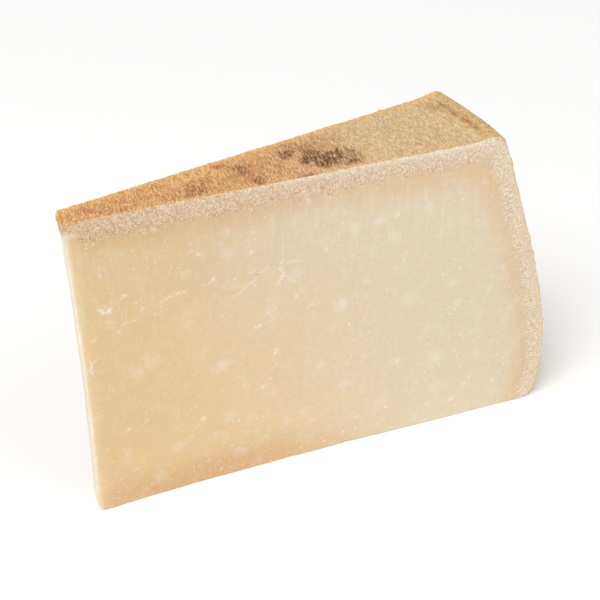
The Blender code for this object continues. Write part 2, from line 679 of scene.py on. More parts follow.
@dataclass(frozen=True)
class PasteFinish:
    """Smooth, waxy cut paste: warmer at the tip and foot, paler towards the heel."""

    warm: Colour = srgb(223, 191, 143)
    pale: Colour = srgb(220, 204, 175)
    foot: Colour = srgb(211, 171, 122)
    under_tip_rind: Colour = srgb(249, 238, 226)  # these five multiply what they cover
    under_rim: Colour = srgb(253, 235, 213)
    under_side_rind: Colour = srgb(253, 241, 226)
    under_foot: Colour = srgb(248, 234, 215)
    upper: Colour = srgb(249, 251, 253)
    by_tip: Colour = srgb(231, 208, 156)
    # the tip face's own pale cream, and a painted highlight along the tip's front arris
    tip_face_and_highlight: Colour = srgb(246, 239, 224)
    # dry also whitens the arrises; on the tip's front arris that is partly a painted highlight
    dry: Colour = srgb(245, 240, 231)
    crystal: Colour = srgb(238, 231, 221)
    shadow: Colour = srgb(209, 176, 127)
    # painted shade down the tears' slits, partly the deeper orange of the paste inside them
    slit_shade: Colour = srgb(202, 152, 92)
    speck_lean: float = -math.radians(42)  # specks lean up towards the heel
    cut_rind: CutRind = CutRind()
    scuffs: tuple[Scuff, ...] = (
        Scuff(128, 104, 13, 9, 80, 0.50),
        Scuff(98, 98, 46, 16, 86, 0.24),
        Scuff(141, 78, 10, 14, -50, 0.30),
        Scuff(131, 34, 22, 18, -41, 0.28),
        Scuff(84, 10, 30, 7, -8, 0.42),
        Scuff(164, 7, 4, 7, 52, 0.45),
    )

    def body(self, bench: Bench, form: ChunkForm) -> Wire:
        """Wire the paste's colour, with a painted highlight along the tip's front arris.

        Args:
            bench: the finish in the making.
            form: the chunk, for the places where the colours change.

        Returns:
            The colour.
        """
        x, _, z = bench.parts()
        from_tip = x - (form.axis_x + form.tip_distance)
        depth, run = bench.kept("rind_depth"), bench.kept("run")
        drift = bench.mottle(0.045) - 0.5
        along = from_tip / 0.128 + (z - 0.045) * 2.0 + drift * 0.35
        foot = (1 - (z + drift * 0.008).ease(0.002, 0.018)) * (1 - from_tip.ease(0.045, 0.125))
        upper = z.ease(0.062, 0.100) * (1 - from_tip.ease(0.030, 0.115))
        by_rim = from_tip.ease(0.070, 0.120) * z.ease(0.086, 0.102)
        by_foot = from_tip.ease(0.105, 0.135) * (1 - z.ease(0.018, 0.045))
        under = bench.layers(
            bench.blend(from_tip.ease(0.070, 0.120), self.under_tip_rind, self.under_side_rind),
            (by_rim, self.under_rim),
            (by_foot, self.under_foot),
        )
        ragged = bench.mottle((0.002, 0.002, 0.009)) - 0.5
        # Within about 2 mm of the tip: the tip face's pale cream and a painted highlight along its front
        # arris.
        line = 1 - run.ease(0.0006, 0.0028)
        return bench.layers(
            bench.blend(along.ease(0.02, 1.02), self.warm, self.pale),
            (foot * (0.62 + from_tip.ease(0.005, 0.024) * 0.38), self.foot),
            (upper, self.upper, "MULTIPLY"),
            (1 - (depth + drift * 0.004).ease(0.0065, 0.0180 + by_rim * 0.004), under, "MULTIPLY"),
            ((1 - (run + ragged * 0.003).ease(0.0010, 0.0068)) * 0.55, self.by_tip),
            (line * (0.54 + ragged * 1.3).clamp(), self.tip_face_and_highlight),
        )

    def make(self, form: ChunkForm) -> bpy.types.Material:
        """Wire the finish.

        Args:
            form: the chunk, for the places where the colours change.

        Returns:
            The material.
        """
        bench = Bench("cut_paste")
        x, _, z = bench.parts()
        clouds, spots, grain = bench.mottle(0.006, 3.0), bench.mottle(0.0019), bench.mottle(0.0008)
        drag = bench.mottle((0.0010, 0.0010, 0.016), turn=(0, 0.05, 0))
        dragged = drag * z.ease(0.035, 0.085)
        crowd = (x - form.axis_x) / 0.2 - z * 3.5 + (clouds - 0.5) * 2.0
        crowd = 0.42 + crowd.ease(0.15, 0.75) * 0.58
        specks = (
            self.specks(bench, 0.0040, 0.22, 0.80 - crowd * 0.14) * 0.50
            + self.specks(bench, 0.0021, 0.24, 0.90 - crowd * 0.26) * 0.62
            + self.specks(bench, 0.0012, 0.28, 0.93 - crowd * 0.36) * 0.60
        ).clamp() * (0.55 + crowd * 0.45)
        scratched = sum((scuff.wire(bench) for scuff in self.scuffs), start=specks * 0.0)
        crumbly = bench.mottle(0.0006)
        lip = bench.kept("lip") * (0.35 + crumbly.ease(0.38, 0.62))
        cut, mask, fibres = self.cut_rind.wire(bench)
        colour = bench.layers(
            self.body(bench, form),
            (clouds.ease(0.50, 0.80) * 0.20, self.crystal),
            (spots.ease(0.50, 0.75) * 0.10, self.crystal),
            ((1 - spots.ease(0.30, 0.52)) * 0.10, self.shadow),
            (grain.ease(0.50, 0.80) * 0.11, self.crystal),
            (dragged.ease(0.50, 0.75) * 0.12, self.crystal),
            (specks, self.crystal),
            (scratched.clamp(), self.crystal),
            # painted shade down the tears' slits
            (bench.kept("pale") * 0.68, self.crystal),
            (bench.kept("slit_shade_mask"), self.slit_shade),
            (lip.clamp(), self.dry),
            # dry arrises and tip face, partly a painted highlight on the tip's front arris
            (bench.kept("dry"), self.dry),
            (mask, cut),
        )
        relief = drag * 0.2 + grain * 0.4 + specks * 0.3 + mask * fibres * 1.2 + lip * crumbly * 0.4
        inputs = {
            "Base Color": colour,
            "Roughness": 0.46 + clouds * 0.12 + mask * 0.2,
            "Specular IOR Level": 0.35,
            "Subsurface Weight": 0.15,
            "Subsurface Scale": 0.0018,
            "Subsurface Radius": (1.0, 0.62, 0.32),  # red light goes the furthest
        }
        return bench.finish(inputs, relief - scratched * 0.6, 0.00014)

    def specks(self, bench: Bench, pitch: float, share: float, rare: Number) -> Wire:
        """Small pale crystals just under the surface.

        Args:
            bench: the finish in the making.
            pitch: how far apart they are, in metres.
            share: the largest one's radius, as a share of the pitch.
            rare: the share of places that have none.

        Returns:
            A mask, 1 on a speck.
        """
        cell = (pitch * 0.92, pitch, pitch * 1.15)
        near, chance = bench.cells(bench.counted(cell, (0, self.speck_lean, 0)))
        ragged = (bench.mottle(pitch * 0.30) - 0.5) * 0.50
        size = (chance - rare) / (1 - rare)
        found = size.ease(0.0, 0.02, "LINEAR")
        radius = (0.3 + size * 0.7) * share
        return (1 - (near + ragged - radius).ease(-0.10, 0.07)) * found * (0.55 + size * 0.45)


@dataclass(frozen=True)
class RindFinish:
    """The rind: dry, streaked and tan outside, with its fibres showing where it is cut."""

    tip_tan: Colour = srgb(221, 169, 116)
    mid_tan: Colour = srgb(215, 165, 113)
    heel_tan: Colour = srgb(213, 185, 141)
    wall_tan: Colour = srgb(231, 202, 154)
    ochre: Colour = srgb(206, 164, 92)
    yellow: Colour = srgb(228, 193, 122)
    rosy: Colour = srgb(210, 172, 138)
    gold: Colour = srgb(236, 190, 108)
    blush: Colour = srgb(186, 124, 86)
    # darker brown down the crease beside the rim: painted shade of the groove
    crease: Colour = srgb(156, 110, 56)
    stain: Colour = srgb(108, 68, 42)
    tip_light: Colour = srgb(252, 216, 160)  # mixed into the pale streaks
    heel_light: Colour = srgb(245, 225, 185)
    dark: Colour = srgb(212, 182, 150)  # multiplies the dark streaks
    paste: PasteFinish = PasteFinish()
    lean: tuple[float, float, float] = (0, 0, math.radians(6))  # how its streaks are turned

    def make(self, form: ChunkForm) -> bpy.types.Material:
        """Wire the finish.

        Args:
            form: the chunk, for the places where the colours change.

        Returns:
            The material.
        """
        bench = Bench("rind")
        outside = bench.kept("outer")
        outer, streaks, grain = self.outside(bench, form)
        cut, mask, fibres = self.paste.cut_rind.wire(bench)
        colour = bench.blend(outside, bench.blend(mask, self.paste.body(bench, form), cut), outer)
        relief = outside * (streaks * 0.7 + grain * 0.4) + (1 - outside) * fibres * mask * 0.6
        inputs = {"Base Color": colour, "Roughness": 0.70, "Specular IOR Level": 0.25}
        return bench.finish(inputs, relief, 0.0003)

    def ground(self, bench: Bench, form: ChunkForm) -> Wire:
        """Wire the outer face's colour without its streaks.

        Args:
            bench: the finish in the making. Its piece carries edge and blush.
            form: the chunk, for the places where the colours change.

        Returns:
            The colour.
        """
        x, _, z = bench.parts()
        patches = bench.mottle((0.011, 0.013, 0.011), 3.0, 0.6)
        spots = bench.mottle((0.0022, 0.0045, 0.0028), 2.0, 0.6, self.lean)
        hues = bench.mottle((0.0030, 0.0048, 0.0036), 2.0, 0.6, self.lean)
        along = (x - form.axis_x - form.tip_distance) / 0.10 + (patches - 0.5) * 0.6
        pale_end = along.ease(0.66, 1.12)
        blush = (spots * 0.6 + patches * 0.4).ease(0.50, 0.66) * (1 - pale_end) * 0.45
        told = bench.kept("blush") * (0.45 + spots.ease(0.35, 0.60) * 0.75)
        wall = 1 - z.ease(form.height - 12 * MM, form.height - 2 * MM)
        calm = 1 - wall * 0.65
        rim = (x - form.axis_x).ease(form.rim_radius - 9 * MM, form.rim_radius - 2 * MM)
        rim = rim * (0.3 + z.ease(form.height - 14 * MM, form.height - 5 * MM) * 0.7)
        ochre = patches.ease(0.52, 0.72) * 0.35 + rim * (0.10 + spots.ease(0.42, 0.60) * 0.9)
        gold = bench.kept("edge") * (0.62 + spots.ease(0.35, 0.65) * 0.35)
        return bench.layers(
            bench.blend(along.ease(0.25, 0.75), self.tip_tan, self.mid_tan),
            (pale_end, self.heel_tan),
            ((blush + told).clamp() * 0.90, self.blush),
            (wall * 0.6, self.wall_tan),
            (hues.ease(0.50, 0.66) * (0.25 + pale_end * 0.35) * calm, self.yellow),
            ((1 - hues.ease(0.34, 0.48)) * pale_end * calm * 0.55, self.rosy),
            (ochre.clamp(), self.ochre),
            (gold.clamp(), self.gold),
        )

    def light(self, bench: Bench, form: ChunkForm) -> tuple[Wire, Wire]:
        """How near to the heel each place is, and the colour of the pale streaks there."""
        heel = (bench.parts()[0] - form.axis_x - form.tip_distance).ease(0.055, 0.105)
        return heel, bench.blend(heel, self.tip_light, self.heel_light)

    def outside(self, bench: Bench, form: ChunkForm) -> tuple[Wire, Wire, Wire]:
        """Wire the rind's outer face.

        Args:
            bench: the finish in the making. Its piece also carries run, crease and stain.
            form: the chunk, for the places where the colours change.

        Returns:
            Its colour, and the streaks and grain that its relief follows.
        """
        streaks = bench.mottle((0.00036, 0.0020, 0.0011), 1.5, 0.6, self.lean)
        grain = bench.mottle((0.00030, 0.00042, 0.00042), 1.0)
        blotches = bench.mottle((0.0016, 0.0034, 0.0024), 2.0, 0.6, self.lean)
        texture = streaks * 0.5 + grain * 0.5
        heel, light = self.light(bench, form)
        wall = bench.kept("run").ease(0.148, 0.162)
        streaky = 0.85 + (0.5 - streaks) * 2.7 + (0.5 - blotches) * 0.7
        colour = bench.layers(
            self.ground(bench, form),
            ((1 - texture.ease(0.38, 0.52)) * (1.0 - heel * 0.20 - wall * 0.45), self.dark, "MULTIPLY"),
            (texture.ease(0.50, 0.62) * 0.68, light),
            # painted shade down the crease beside the rim
            ((bench.kept("crease") * (0.5 + blotches)).clamp() * 0.85, self.crease),
            ((bench.kept("stain") * streaky).clamp(), self.stain),
        )
        return colour, streaks, grain


@dataclass(frozen=True)
class BitFinish:
    """A plain, dry finish for small bits, with a tone of its own for each."""

    name: str
    tip_dull: Colour
    tip_bright: Colour
    heel_dull: Colour
    heel_bright: Colour
    roughness: float = 0.6

    def make(self) -> bpy.types.Material:
        """Wire the finish and return the material."""
        bench = Bench(self.name)
        heel = bench.kept("heel")
        dull = bench.blend(heel, self.tip_dull, self.heel_dull)
        bright = bench.blend(heel, self.tip_bright, self.heel_bright)
        colour = bench.blend(tone(bench), dull, bright)
        return bench.finish({"Base Color": colour, "Roughness": self.roughness})


@dataclass(frozen=True)
class FleckFinish:
    """The finish of the rind's flecks: the ground's colour where each lies, darker or paler."""

    rind: RindFinish = RindFinish()
    dull: Colour = srgb(230, 206, 178)  # multiplies the ground
    pale_share: float = 0.60

    def make(self, form: ChunkForm) -> bpy.types.Material:
        """Wire the finish.

        Args:
            form: the chunk, for the places where the colours change.

        Returns:
            The material.
        """
        bench = Bench("rind_flecks")
        ground = self.rind.ground(bench, form)
        dull = bench.blend(1.0, ground, self.dull, "MULTIPLY")
        pale = bench.blend(self.pale_share, ground, self.rind.light(bench, form)[1])
        return bench.finish({"Base Color": bench.blend(tone(bench), dull, pale), "Roughness": 0.65})


@dataclass(frozen=True)
class CrystalFinish:
    """The finish of the crystals: the paste's colour where each lies, but whiter."""

    paste: PasteFinish = PasteFinish()
    least: float = 0.08  # how white the dullest and the whitest are
    most: float = 0.52

    def make(self, form: ChunkForm) -> bpy.types.Material:
        """Wire the finish.

        Args:
            form: the chunk, for the places where the colours change.

        Returns:
            The material.
        """
        bench = Bench("crystals")
        share = self.least + tone(bench) * (self.most - self.least)
        colour = bench.blend(share, self.paste.body(bench, form), self.paste.dry)
        return bench.finish({"Base Color": colour, "Roughness": 0.5})


def tone(bench: Bench) -> Wire:
    """Each bit's own tone, from 0 to 1, a little uneven over the bit."""
    return (bench.kept("tone") + (bench.mottle(0.0002, 1.0) - 0.5) * 0.3).clamp()


# ---------------------------------------------------------------- tears and pale spots


@dataclass(frozen=True)
class Tear:
    """A place where the paste tore, on one cut. Lengths are in millimetres on that cut."""

    path: tuple[tuple[float, float], ...]  # along the cut from the tip, and up from the base
    side: Side = Side.FRONT
    lip: float = 0.45  # half width of the pale lip
    lift: float = 0.12  # how far the lip stands up
    slit: float = 0.0  # depth of the slit beside it
    white: float = 0.5

    def line(self) -> Array:
        """The path with points close together and a ragged course, in metres."""
        points = [Vector((x, up, 0)) for x, up in self.path]
        dense = []
        for start, stop in zip(points, points[1:]):
            count = max(1, round((stop - start).length / 0.5))
            dense += [start.lerp(stop, k / count) for k in range(count)]
        dense.append(points[-1])
        flat = np.array([point[:] for point in dense])
        sway = [
            reach * np.column_stack([noise_at(flat, size, seed) for seed in (3.3, 47.1)])
            for reach, size in ((0.7, 1.1), (0.25, 0.37))
        ]
        return (flat[:, :2] + sum(sway)) * MM


@dataclass(frozen=True)
class Spot:
    """A soft pale spot on one cut, in millimetres on that cut."""

    x: float
    up: float
    radius: float = 2.2
    strength: float = 0.35
    side: Side = Side.FRONT


FRONT_TEARS = (
    Tear(((8, 84.6), (9.4, 83.4), (10.6, 84.2), (11.2, 83)), lip=0.7, lift=0.3, slit=0.5, white=0.95),
    Tear(((7.2, 85), (8.4, 84.6)), lip=0.5, lift=0.2, white=0.9),
    Tear(((13, 77.2), (16, 78), (20, 78.4)), lip=0.35, lift=0.1, white=0.3),
    Tear(((27, 79), (27.4, 83), (31, 84.6), (36, 85.6)), lip=0.45, lift=0.15, slit=0.15, white=0.45),
    Tear(((33.5, 84.6), (36.5, 85)), lip=0.3, lift=0.1, slit=0.5, white=0.4),
    Tear(((40, 85.4), (43, 85.8), (46.5, 87.2)), lip=0.4, lift=0.1, slit=0.15, white=0.35),
    Tear(((43.5, 86.4), (44.6, 87.8), (45.4, 86.6)), lip=0.5, lift=0.2, white=0.6),
    Tear(((51, 78), (53.5, 80.4), (56, 82), (60, 85)), lip=0.45, lift=0.12, slit=0.1, white=0.5),
    Tear(((57.5, 83.4), (60.6, 86.2), (64, 89.2)), lip=0.35, lift=0.1, slit=0.4, white=0.3),
    Tear(((56, 86.4), (58.5, 86.8)), lip=0.35, lift=0.1, white=0.4),
    Tear(
        ((68, 88.6), (67.4, 85.4), (68.6, 83), (67, 80), (66, 78.8)),
        lip=0.6, lift=0.25, slit=0.35, white=0.75,
    ),
    Tear(((68.6, 83), (71, 80.6), (72.4, 78.2)), lip=0.55, lift=0.15, slit=0.1, white=0.55),
    Tear(((68.4, 86.6), (71, 87.4), (75, 87.2)), lip=0.4, lift=0.1, white=0.4),
    Tear(((57.6, 64), (60.6, 64.6)), lip=0.7, lift=0.25, slit=0.3, white=0.85),
    Tear(((61.6, 65.6), (64.6, 66)), lip=0.35, lift=0.1, slit=0.35, white=0.5),
    Tear(((75, 66.8), (78, 68), (81, 68.6)), lip=0.3, lift=0.08, white=0.3),
    Tear(((64.6, 50.6), (65.4, 52.2), (66.4, 53)), lip=0.5, lift=0.2, slit=0.2, white=0.7),
    Tear(((14.6, 87), (15.4, 88.6), (16.6, 87.6)), lip=0.4, lift=0.15, white=0.6),
    Tear(((12.4, 74.6), (13.6, 75.6)), lip=0.5, lift=0.15, slit=0.2, white=0.6),
    Tear(((19.4, 98), (20, 97)), lip=0.35, lift=0.12, slit=0.2, white=0.5),
    Tear(((39.6, 98.6), (40.6, 97.2), (41.4, 98.4)), lip=0.4, lift=0.15, white=0.5),
    Tear(((31.4, 95.6), (31.8, 94.6)), lip=0.3, lift=0.1, slit=0.25, white=0.6),
    Tear(((87.2, 95.4), (88.2, 94.6)), lip=0.45, lift=0.15, slit=0.4, white=0.6),
    Tear(((2, 68), (3, 65), (2.2, 62.4), (3.2, 60)), lip=0.4, lift=0.12, slit=0.15, white=0.7),
    Tear(((3, 65), (4.8, 66.4)), lip=0.3, lift=0.1, white=0.6),
    Tear(((8.6, 98), (9.4, 96.6)), lip=0.35, lift=0.1, white=0.5),
)

FRONT_SPOTS = (
    Spot(47, 51, 2.6, 0.5),
    Spot(92, 30, 3.0, 0.4),
    Spot(82, 41, 2.2, 0.45),
    Spot(49, 28, 2.6, 0.35),
    Spot(22, 60, 2.8, 0.3),
    Spot(16.5, 57, 2.4, 0.3),
    Spot(115, 61, 3.6, 0.35),
    Spot(70, 19, 2.6, 0.3),
    Spot(29, 20, 2.6, 0.3),
    Spot(23, 8, 3.0, 0.35),
    Spot(53, 10, 3.0, 0.3),
    Spot(89.5, 65, 3.2, 0.5),
    Spot(93, 95, 2.6, 0.4),
    Spot(101.5, 95.6, 1.9, 0.55),
    Spot(108, 89, 2.4, 0.45),
    Spot(120, 97.5, 2.4, 0.45),
    Spot(106, 67, 1.0, 0.9),
    Spot(151, 65.5, 1.3, 0.7),
    Spot(77.5, 109.5, 0.9, 0.8),
    Spot(85, 109.4, 1.6, 0.4),
    Spot(27.5, 110, 1.2, 0.7),
    Spot(50, 104, 1.8, 0.4),
    Spot(50, 96, 2.6, 0.3),
    Spot(73, 82, 2.4, 0.4),
    Spot(139, 87.6, 0.8, 0.7),
    Spot(147, 84, 0.9, 0.5),
    Spot(131, 64, 2.4, 0.4),
    Spot(134, 55, 1.8, 0.4),
    Spot(156, 46, 1.8, 0.4),
    Spot(127, 32, 3.4, 0.4),
    Spot(129, 28, 0.8, 0.7),
    Spot(141, 15.4, 0.9, 0.9),
    Spot(136.5, 9.2, 1.1, 0.9),
    Spot(128, 17, 3.0, 0.35),
    Spot(101, 90, 1.2, 0.4),
    Spot(141, 102.6, 1.3, 0.5),
)


@dataclass
class CutMarks:
    """The tears and pale spots on every cut: placed on the front, and scattered elsewhere."""

    seed: int = 11
    back_tears: int = 22
    base_tears: int = 9
    tip_tears: int = 3
    back_spots: int = 34
    base_spots: int = 16
    tears: tuple[Tear, ...] = field(init=False)
    spots: tuple[Spot, ...] = field(init=False)

    def __post_init__(self) -> None:
        """Scatter the marks of the cuts that are not the front."""
        rng = np.random.default_rng(self.seed)
        tears = list(FRONT_TEARS)
        spots = list(FRONT_SPOTS)
        areas = {
            Side.BACK: (6, 148, 8, 106, self.back_tears, self.back_spots),
            Side.BASE: (6, 165, 2, 30, self.base_tears, self.base_spots),
            Side.TIP: (2, 7, 10, 105, self.tip_tears, 2),
        }
        for side, (left, right, low, high, tear_count, spot_count) in areas.items():
            for _ in range(tear_count):
                tears.append(self.random_tear(rng, side, (left, right), (low, high)))
            for _ in range(spot_count):
                x, up = rng.uniform(left, right), rng.uniform(low, high)
                spots.append(Spot(x, up, rng.uniform(0.9, 3.4), rng.uniform(0.25, 0.6), side))
        self.tears = tuple(tears)
        self.spots = tuple(spots)

    @staticmethod
    def random_tear(
        rng: np.random.Generator, side: Side, along: tuple[float, float], rise: tuple[float, float]
    ) -> Tear:
        """A tear of one to three steps somewhere on a cut.

        Args:
            rng: the source of chance.
            side: the cut.
            along: the least and the greatest distance along it, in millimetres.
            rise: the least and the greatest height.

        Returns:
            The tear.
        """
        x, up = rng.uniform(*along), rng.uniform(*rise)
        heading = rng.uniform(-0.4, 1.3)
        path = [(x, up)]
        step = 1.2 if side is Side.TIP else rng.uniform(1.0, 4.0)
        for _ in range(rng.integers(1, 4)):
            heading += rng.normal(0, 0.6)
            x, up = x + step * math.cos(heading), up + step * math.sin(heading)
            path.append((x, up))
        strength = rng.uniform(0.3, 0.9)
        slit = rng.uniform(0.1, 0.5) if rng.random() < 0.6 else 0.0
        return Tear(tuple(path), side, 0.3 + 0.3 * strength, 0.08 + 0.15 * strength, slit, strength)


# ---------------------------------------------------------------- the paste


@dataclass(frozen=True)
class Chip:
    """A corner of the tip's foot that has broken away, as a plane that trims it."""

    slope: tuple[float, float, float]  # the plane's normal: along, across and up
    reach: float  # how far from the corner the plane lies, in metres
    from_back: bool

    def trim(self, place: Array, width: Array, points: Array) -> Array:
        """Move what lies beyond the plane back to it.

        Args:
            place: distances from the tip, front and base.
            width: the chunk's width at each point.
            points: positions in the frame.

        Returns:
            The new distances.
        """
        slope = np.array(self.slope) / np.linalg.norm(self.slope)
        across = width - place[:, 1] if self.from_back else place[:, 1]
        level = place[:, 0] * slope[0] + across * slope[1] + place[:, 2] * slope[2]
        ragged = 0.25 * MM * noise_at(points, 1.4 * MM, 6.1)
        over = np.maximum(self.reach + ragged - level, 0) * (level < self.reach + 1 * MM)
        way = slope * (1, -1 if self.from_back else 1, 1)
        return place + over[:, None] * way


@dataclass
class Paste:
    """The cut paste: one closed body that fills the chunk up to the middle of its rind."""

    form: ChunkForm
    marks: CutMarks
    finish: PasteFinish = field(default_factory=PasteFinish)
    cells: tuple[int, int, int] = (210, 24, 140)
    rind_inset: float = 3 * MM  # how far it stops short of the rind's outer face
    arris: float = 0.5 * MM  # radius of its arrises
    band_from: float = 4.1 * MM  # above this depth it makes way for the cut rind
    band_to: float = 4.9 * MM
    band_drop: float = 1.0 * MM
    wave: float = 0.16 * MM  # the cuts wander by this much
    refine_reach: float = 1.5 * MM  # finer cells this near to a tear
    mark_reach: float = 2.5 * MM  # a tear shows no further than this from its line
    fine_rows: tuple[float, ...] = (0.1, 0.22, 0.38, 0.6, 0.95)  # millimetres from an arris
    chips: tuple[Chip, ...] = (
        Chip((0.62, 0.10, 0.78), 1.5 * MM, from_back=False),
        Chip((0.50, 0.62, 0.60), 2.8 * MM, from_back=True),
    )

    def measure(self, block: Array) -> tuple[Array, Array]:
        """Work out where the block's points lie between the cuts.

        Args:
            block: places over 0 to 1 along, across and up.

        Returns:
            Each point's distances from the tip, front and base, and the chunk's sizes there.
        """
        form = self.form
        length_rows = [row * MM / (form.belly_radius - form.tip_distance) for row in self.fine_rows]
        height_rows = [row * MM / form.height for row in self.fine_rows]
        along = spaced(block[:, 0], self.cells[0], length_rows)
        across = spaced(block[:, 1], self.cells[1], (0.004, 0.010, 0.020, 0.036, 0.062), both=True)
        up = spaced(block[:, 2], self.cells[2], height_rows)
        z = up * (form.height - self.rind_inset)
        for _ in range(2):
            tip = form.tip_x(across, z)
            length = form.heel_x(across, z, self.rind_inset) - tip
            x = tip + along * length
            top = form.top_height(x / np.cos(form.turn(across))) - self.rind_inset
            z = up * top
        width = form.width(x, z)
        place = np.column_stack([along * length, across * width, z])
        return place, np.column_stack([length, width, top])

    def position(self, place: Array, size: Array) -> Array:
        """Points in the frame from their distances to the tip, front and base."""
        across = place[:, 1] / size[:, 1]
        x = self.form.tip_x(np.clip(across, 0, 1), place[:, 2]) + place[:, 0]
        return self.form.place(x, across, place[:, 2])

    def flat(self, side: Side, place: Array) -> Array:
        """Places on a cut, in metres: along and up, or across and up on the tip."""
        return place[:, [axis for axis in range(3) if axis != side.value[0]]]

    def refine(self, bm: bmesh.types.BMesh) -> None:
        """Divide the cells round each tear."""
        bm.faces.ensure_lookup_table()
        centres = np.array([face.calc_center_median()[:] for face in bm.faces])
        place, _ = self.measure(centres)
        chosen = np.zeros(len(centres), bool)
        for tear in self.marks.tears:
            on_side = np.flatnonzero(tear.side.has(centres))
            flat, line = self.flat(tear.side, place[on_side]), tear.line()
            close = boxed(flat, line, self.refine_reach)
            distance, _, _ = nearest(flat[close], line)
            chosen[on_side[close][distance < self.refine_reach]] = True
        edges = dict.fromkeys(edge for index in np.flatnonzero(chosen) for edge in bm.faces[index].edges)
        bmesh.ops.subdivide_edges(bm, edges=list(edges), cuts=2, use_grid_fill=True)

    def mark(self, block: Array, place: Array, points: Array) -> dict[str, Array]:
        """Work out what the tears and spots do at each point.

        Args:
            block: places over 0 to 1.
            place: distances from the tip, front and base.
            points: positions in the frame.

        Returns:
            The masks lip and pale, the mask of painted shade down each slit, and the lift in metres.
        """
        count = len(block)
        found = {name: np.zeros(count) for name in ("lip", "slit_shade_mask", "pale", "lift")}
        for tear in self.marks.tears:
            flat, line = self.flat(tear.side, place), tear.line()
            mine = np.flatnonzero(tear.side.has(block) & boxed(flat, line, self.mark_reach))
            distance, share, signed = nearest(flat[mine], line)
            patchy = 0.75 + 0.6 * noise_at(points[mine], 0.9 * MM, 3.1)
            ends = np.clip(4 * share * (1 - share) + 0.25, 0, 1)
            strength = np.clip(patchy * ends, 0, 1.2)
            lip = hill(distance, 0.95 * tear.lip * MM) * strength
            # slit marks the groove beside the lip; the finish paints shade down it
            slit = hill(signed - 0.55 * tear.lip * MM, 0.22 * MM) * ends * (distance < 1.2 * MM)
            slit *= np.clip(0.8 + 0.9 * noise_at(points[mine], 1.5 * MM, 8.2), 0, 1)
            found["lip"][mine] = np.maximum(found["lip"][mine], lip * tear.white)
            found["slit_shade_mask"][mine] = np.maximum(found["slit_shade_mask"][mine], slit * min(0.9, 2.0 * tear.slit))
            found["lift"][mine] += (lip * tear.lift * 0.6 - slit * tear.slit * 0.35) * MM
        for spot in self.marks.spots:
            flat = self.flat(spot.side, place)
            distance = np.hypot(flat[:, 0] - spot.x * MM, flat[:, 1] - spot.up * MM)
            mine = np.flatnonzero(spot.side.has(block) & (distance < 2 * spot.radius * MM))
            wobble = 1 + 0.7 * noise_at(points[mine], 0.8 * spot.radius * MM, 5.5)
            wobble += 0.45 * noise_at(points[mine], 0.3 * spot.radius * MM, 1.5)
            wobble = np.maximum(wobble, 0.3)
            mask = 1 - smooth(distance[mine] / (spot.radius * MM * wobble), 0.25, 1.3)
            found["pale"][mine] = np.maximum(found["pale"][mine], mask * spot.strength)
        return found

    def build(self) -> bpy.types.Object:
        """Make the paste and return the piece."""
        bm = unit_block(self.cells)
        self.refine(bm)
        mesh = mesh_of(bm, "paste")
        block = points_of(mesh)
        place, size = self.measure(block)
        plain = self.position(place, size)
        depth = self.form.rind_depth(plain)
        marks = self.mark(block, place, plain)

        corner = np.hypot(place[:, 0], place[:, 2])
        radius = self.arris + 1.3 * MM * hill(corner, 3 * MM)
        radius = np.minimum(radius, 0.3 * size[:, 1])
        near_foot = 1 - smooth(place[:, 2], 0.3 * MM, 2.2 * MM)
        near_front = 1 - smooth(np.minimum(place[:, 1], size[:, 1] - place[:, 1]), 0.2 * MM, 1.4 * MM)
        near_tip = 1 - smooth(place[:, 0], 0.2 * MM, 1.4 * MM)
        arris = np.maximum(near_foot * near_front, np.maximum(near_foot * near_tip, near_front * near_tip))
        nick = smooth(noise_at(plain, 4.5 * MM, 4.4) + 0.25 * noise_at(plain, 1.8 * MM, 1.7), 0.15, 0.7)
        lift = self.wave * (noise_at(plain, 19 * MM, 7.0) + 0.4 * noise_at(plain, 6 * MM, 2.0))
        lift += marks["lift"] - 0.30 * MM * nick * arris
        lift += self.form.band_relief(plain) * (1 - smooth(depth, 6.4 * MM, 8.4 * MM))
        lift -= self.band_drop * (1 - smooth(depth, self.band_from, self.band_to))
        lift = np.where(Side.BASE.has(block), np.minimum(lift, 0), lift)
        shaped = rounded(place, size, radius, lift)
        for chip in self.chips:
            shaped = chip.trim(shaped, size[:, 1], plain)
        points = self.position(shaped, size)
        points[:, 2] = np.maximum(points[:, 2], 0)
        move_points(mesh, points)

        # Pale dry arrises and tip face; on the tip's front arris this is partly a painted highlight.
        by_tip = smooth(-outward(place, size, radius)[:, 0], 0.3, 0.9)
        ragged = noise_at(plain * (1, 1, 0.35), 1.6 * MM, 9.0)
        dry = near_front * near_tip * smooth(ragged, -0.3, 0.5) * 0.45
        dry = np.maximum(dry, near_foot * near_front * smooth(ragged, 0.1, 0.6) * 0.25)
        dry = np.maximum(dry, by_tip * (0.36 + 0.3 * ragged))
        store(mesh, rind_depth=depth, run=self.form.run(plain), tip_depth=place[:, 0])
        store(mesh, **{name: marks[name] for name in ("lip", "slit_shade_mask", "pale")}, dry=dry)
        self.map(mesh, block, place)
        piece = add_piece("paste_body", mesh, self.finish.make(self.form))
        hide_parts(NODE)
        return piece

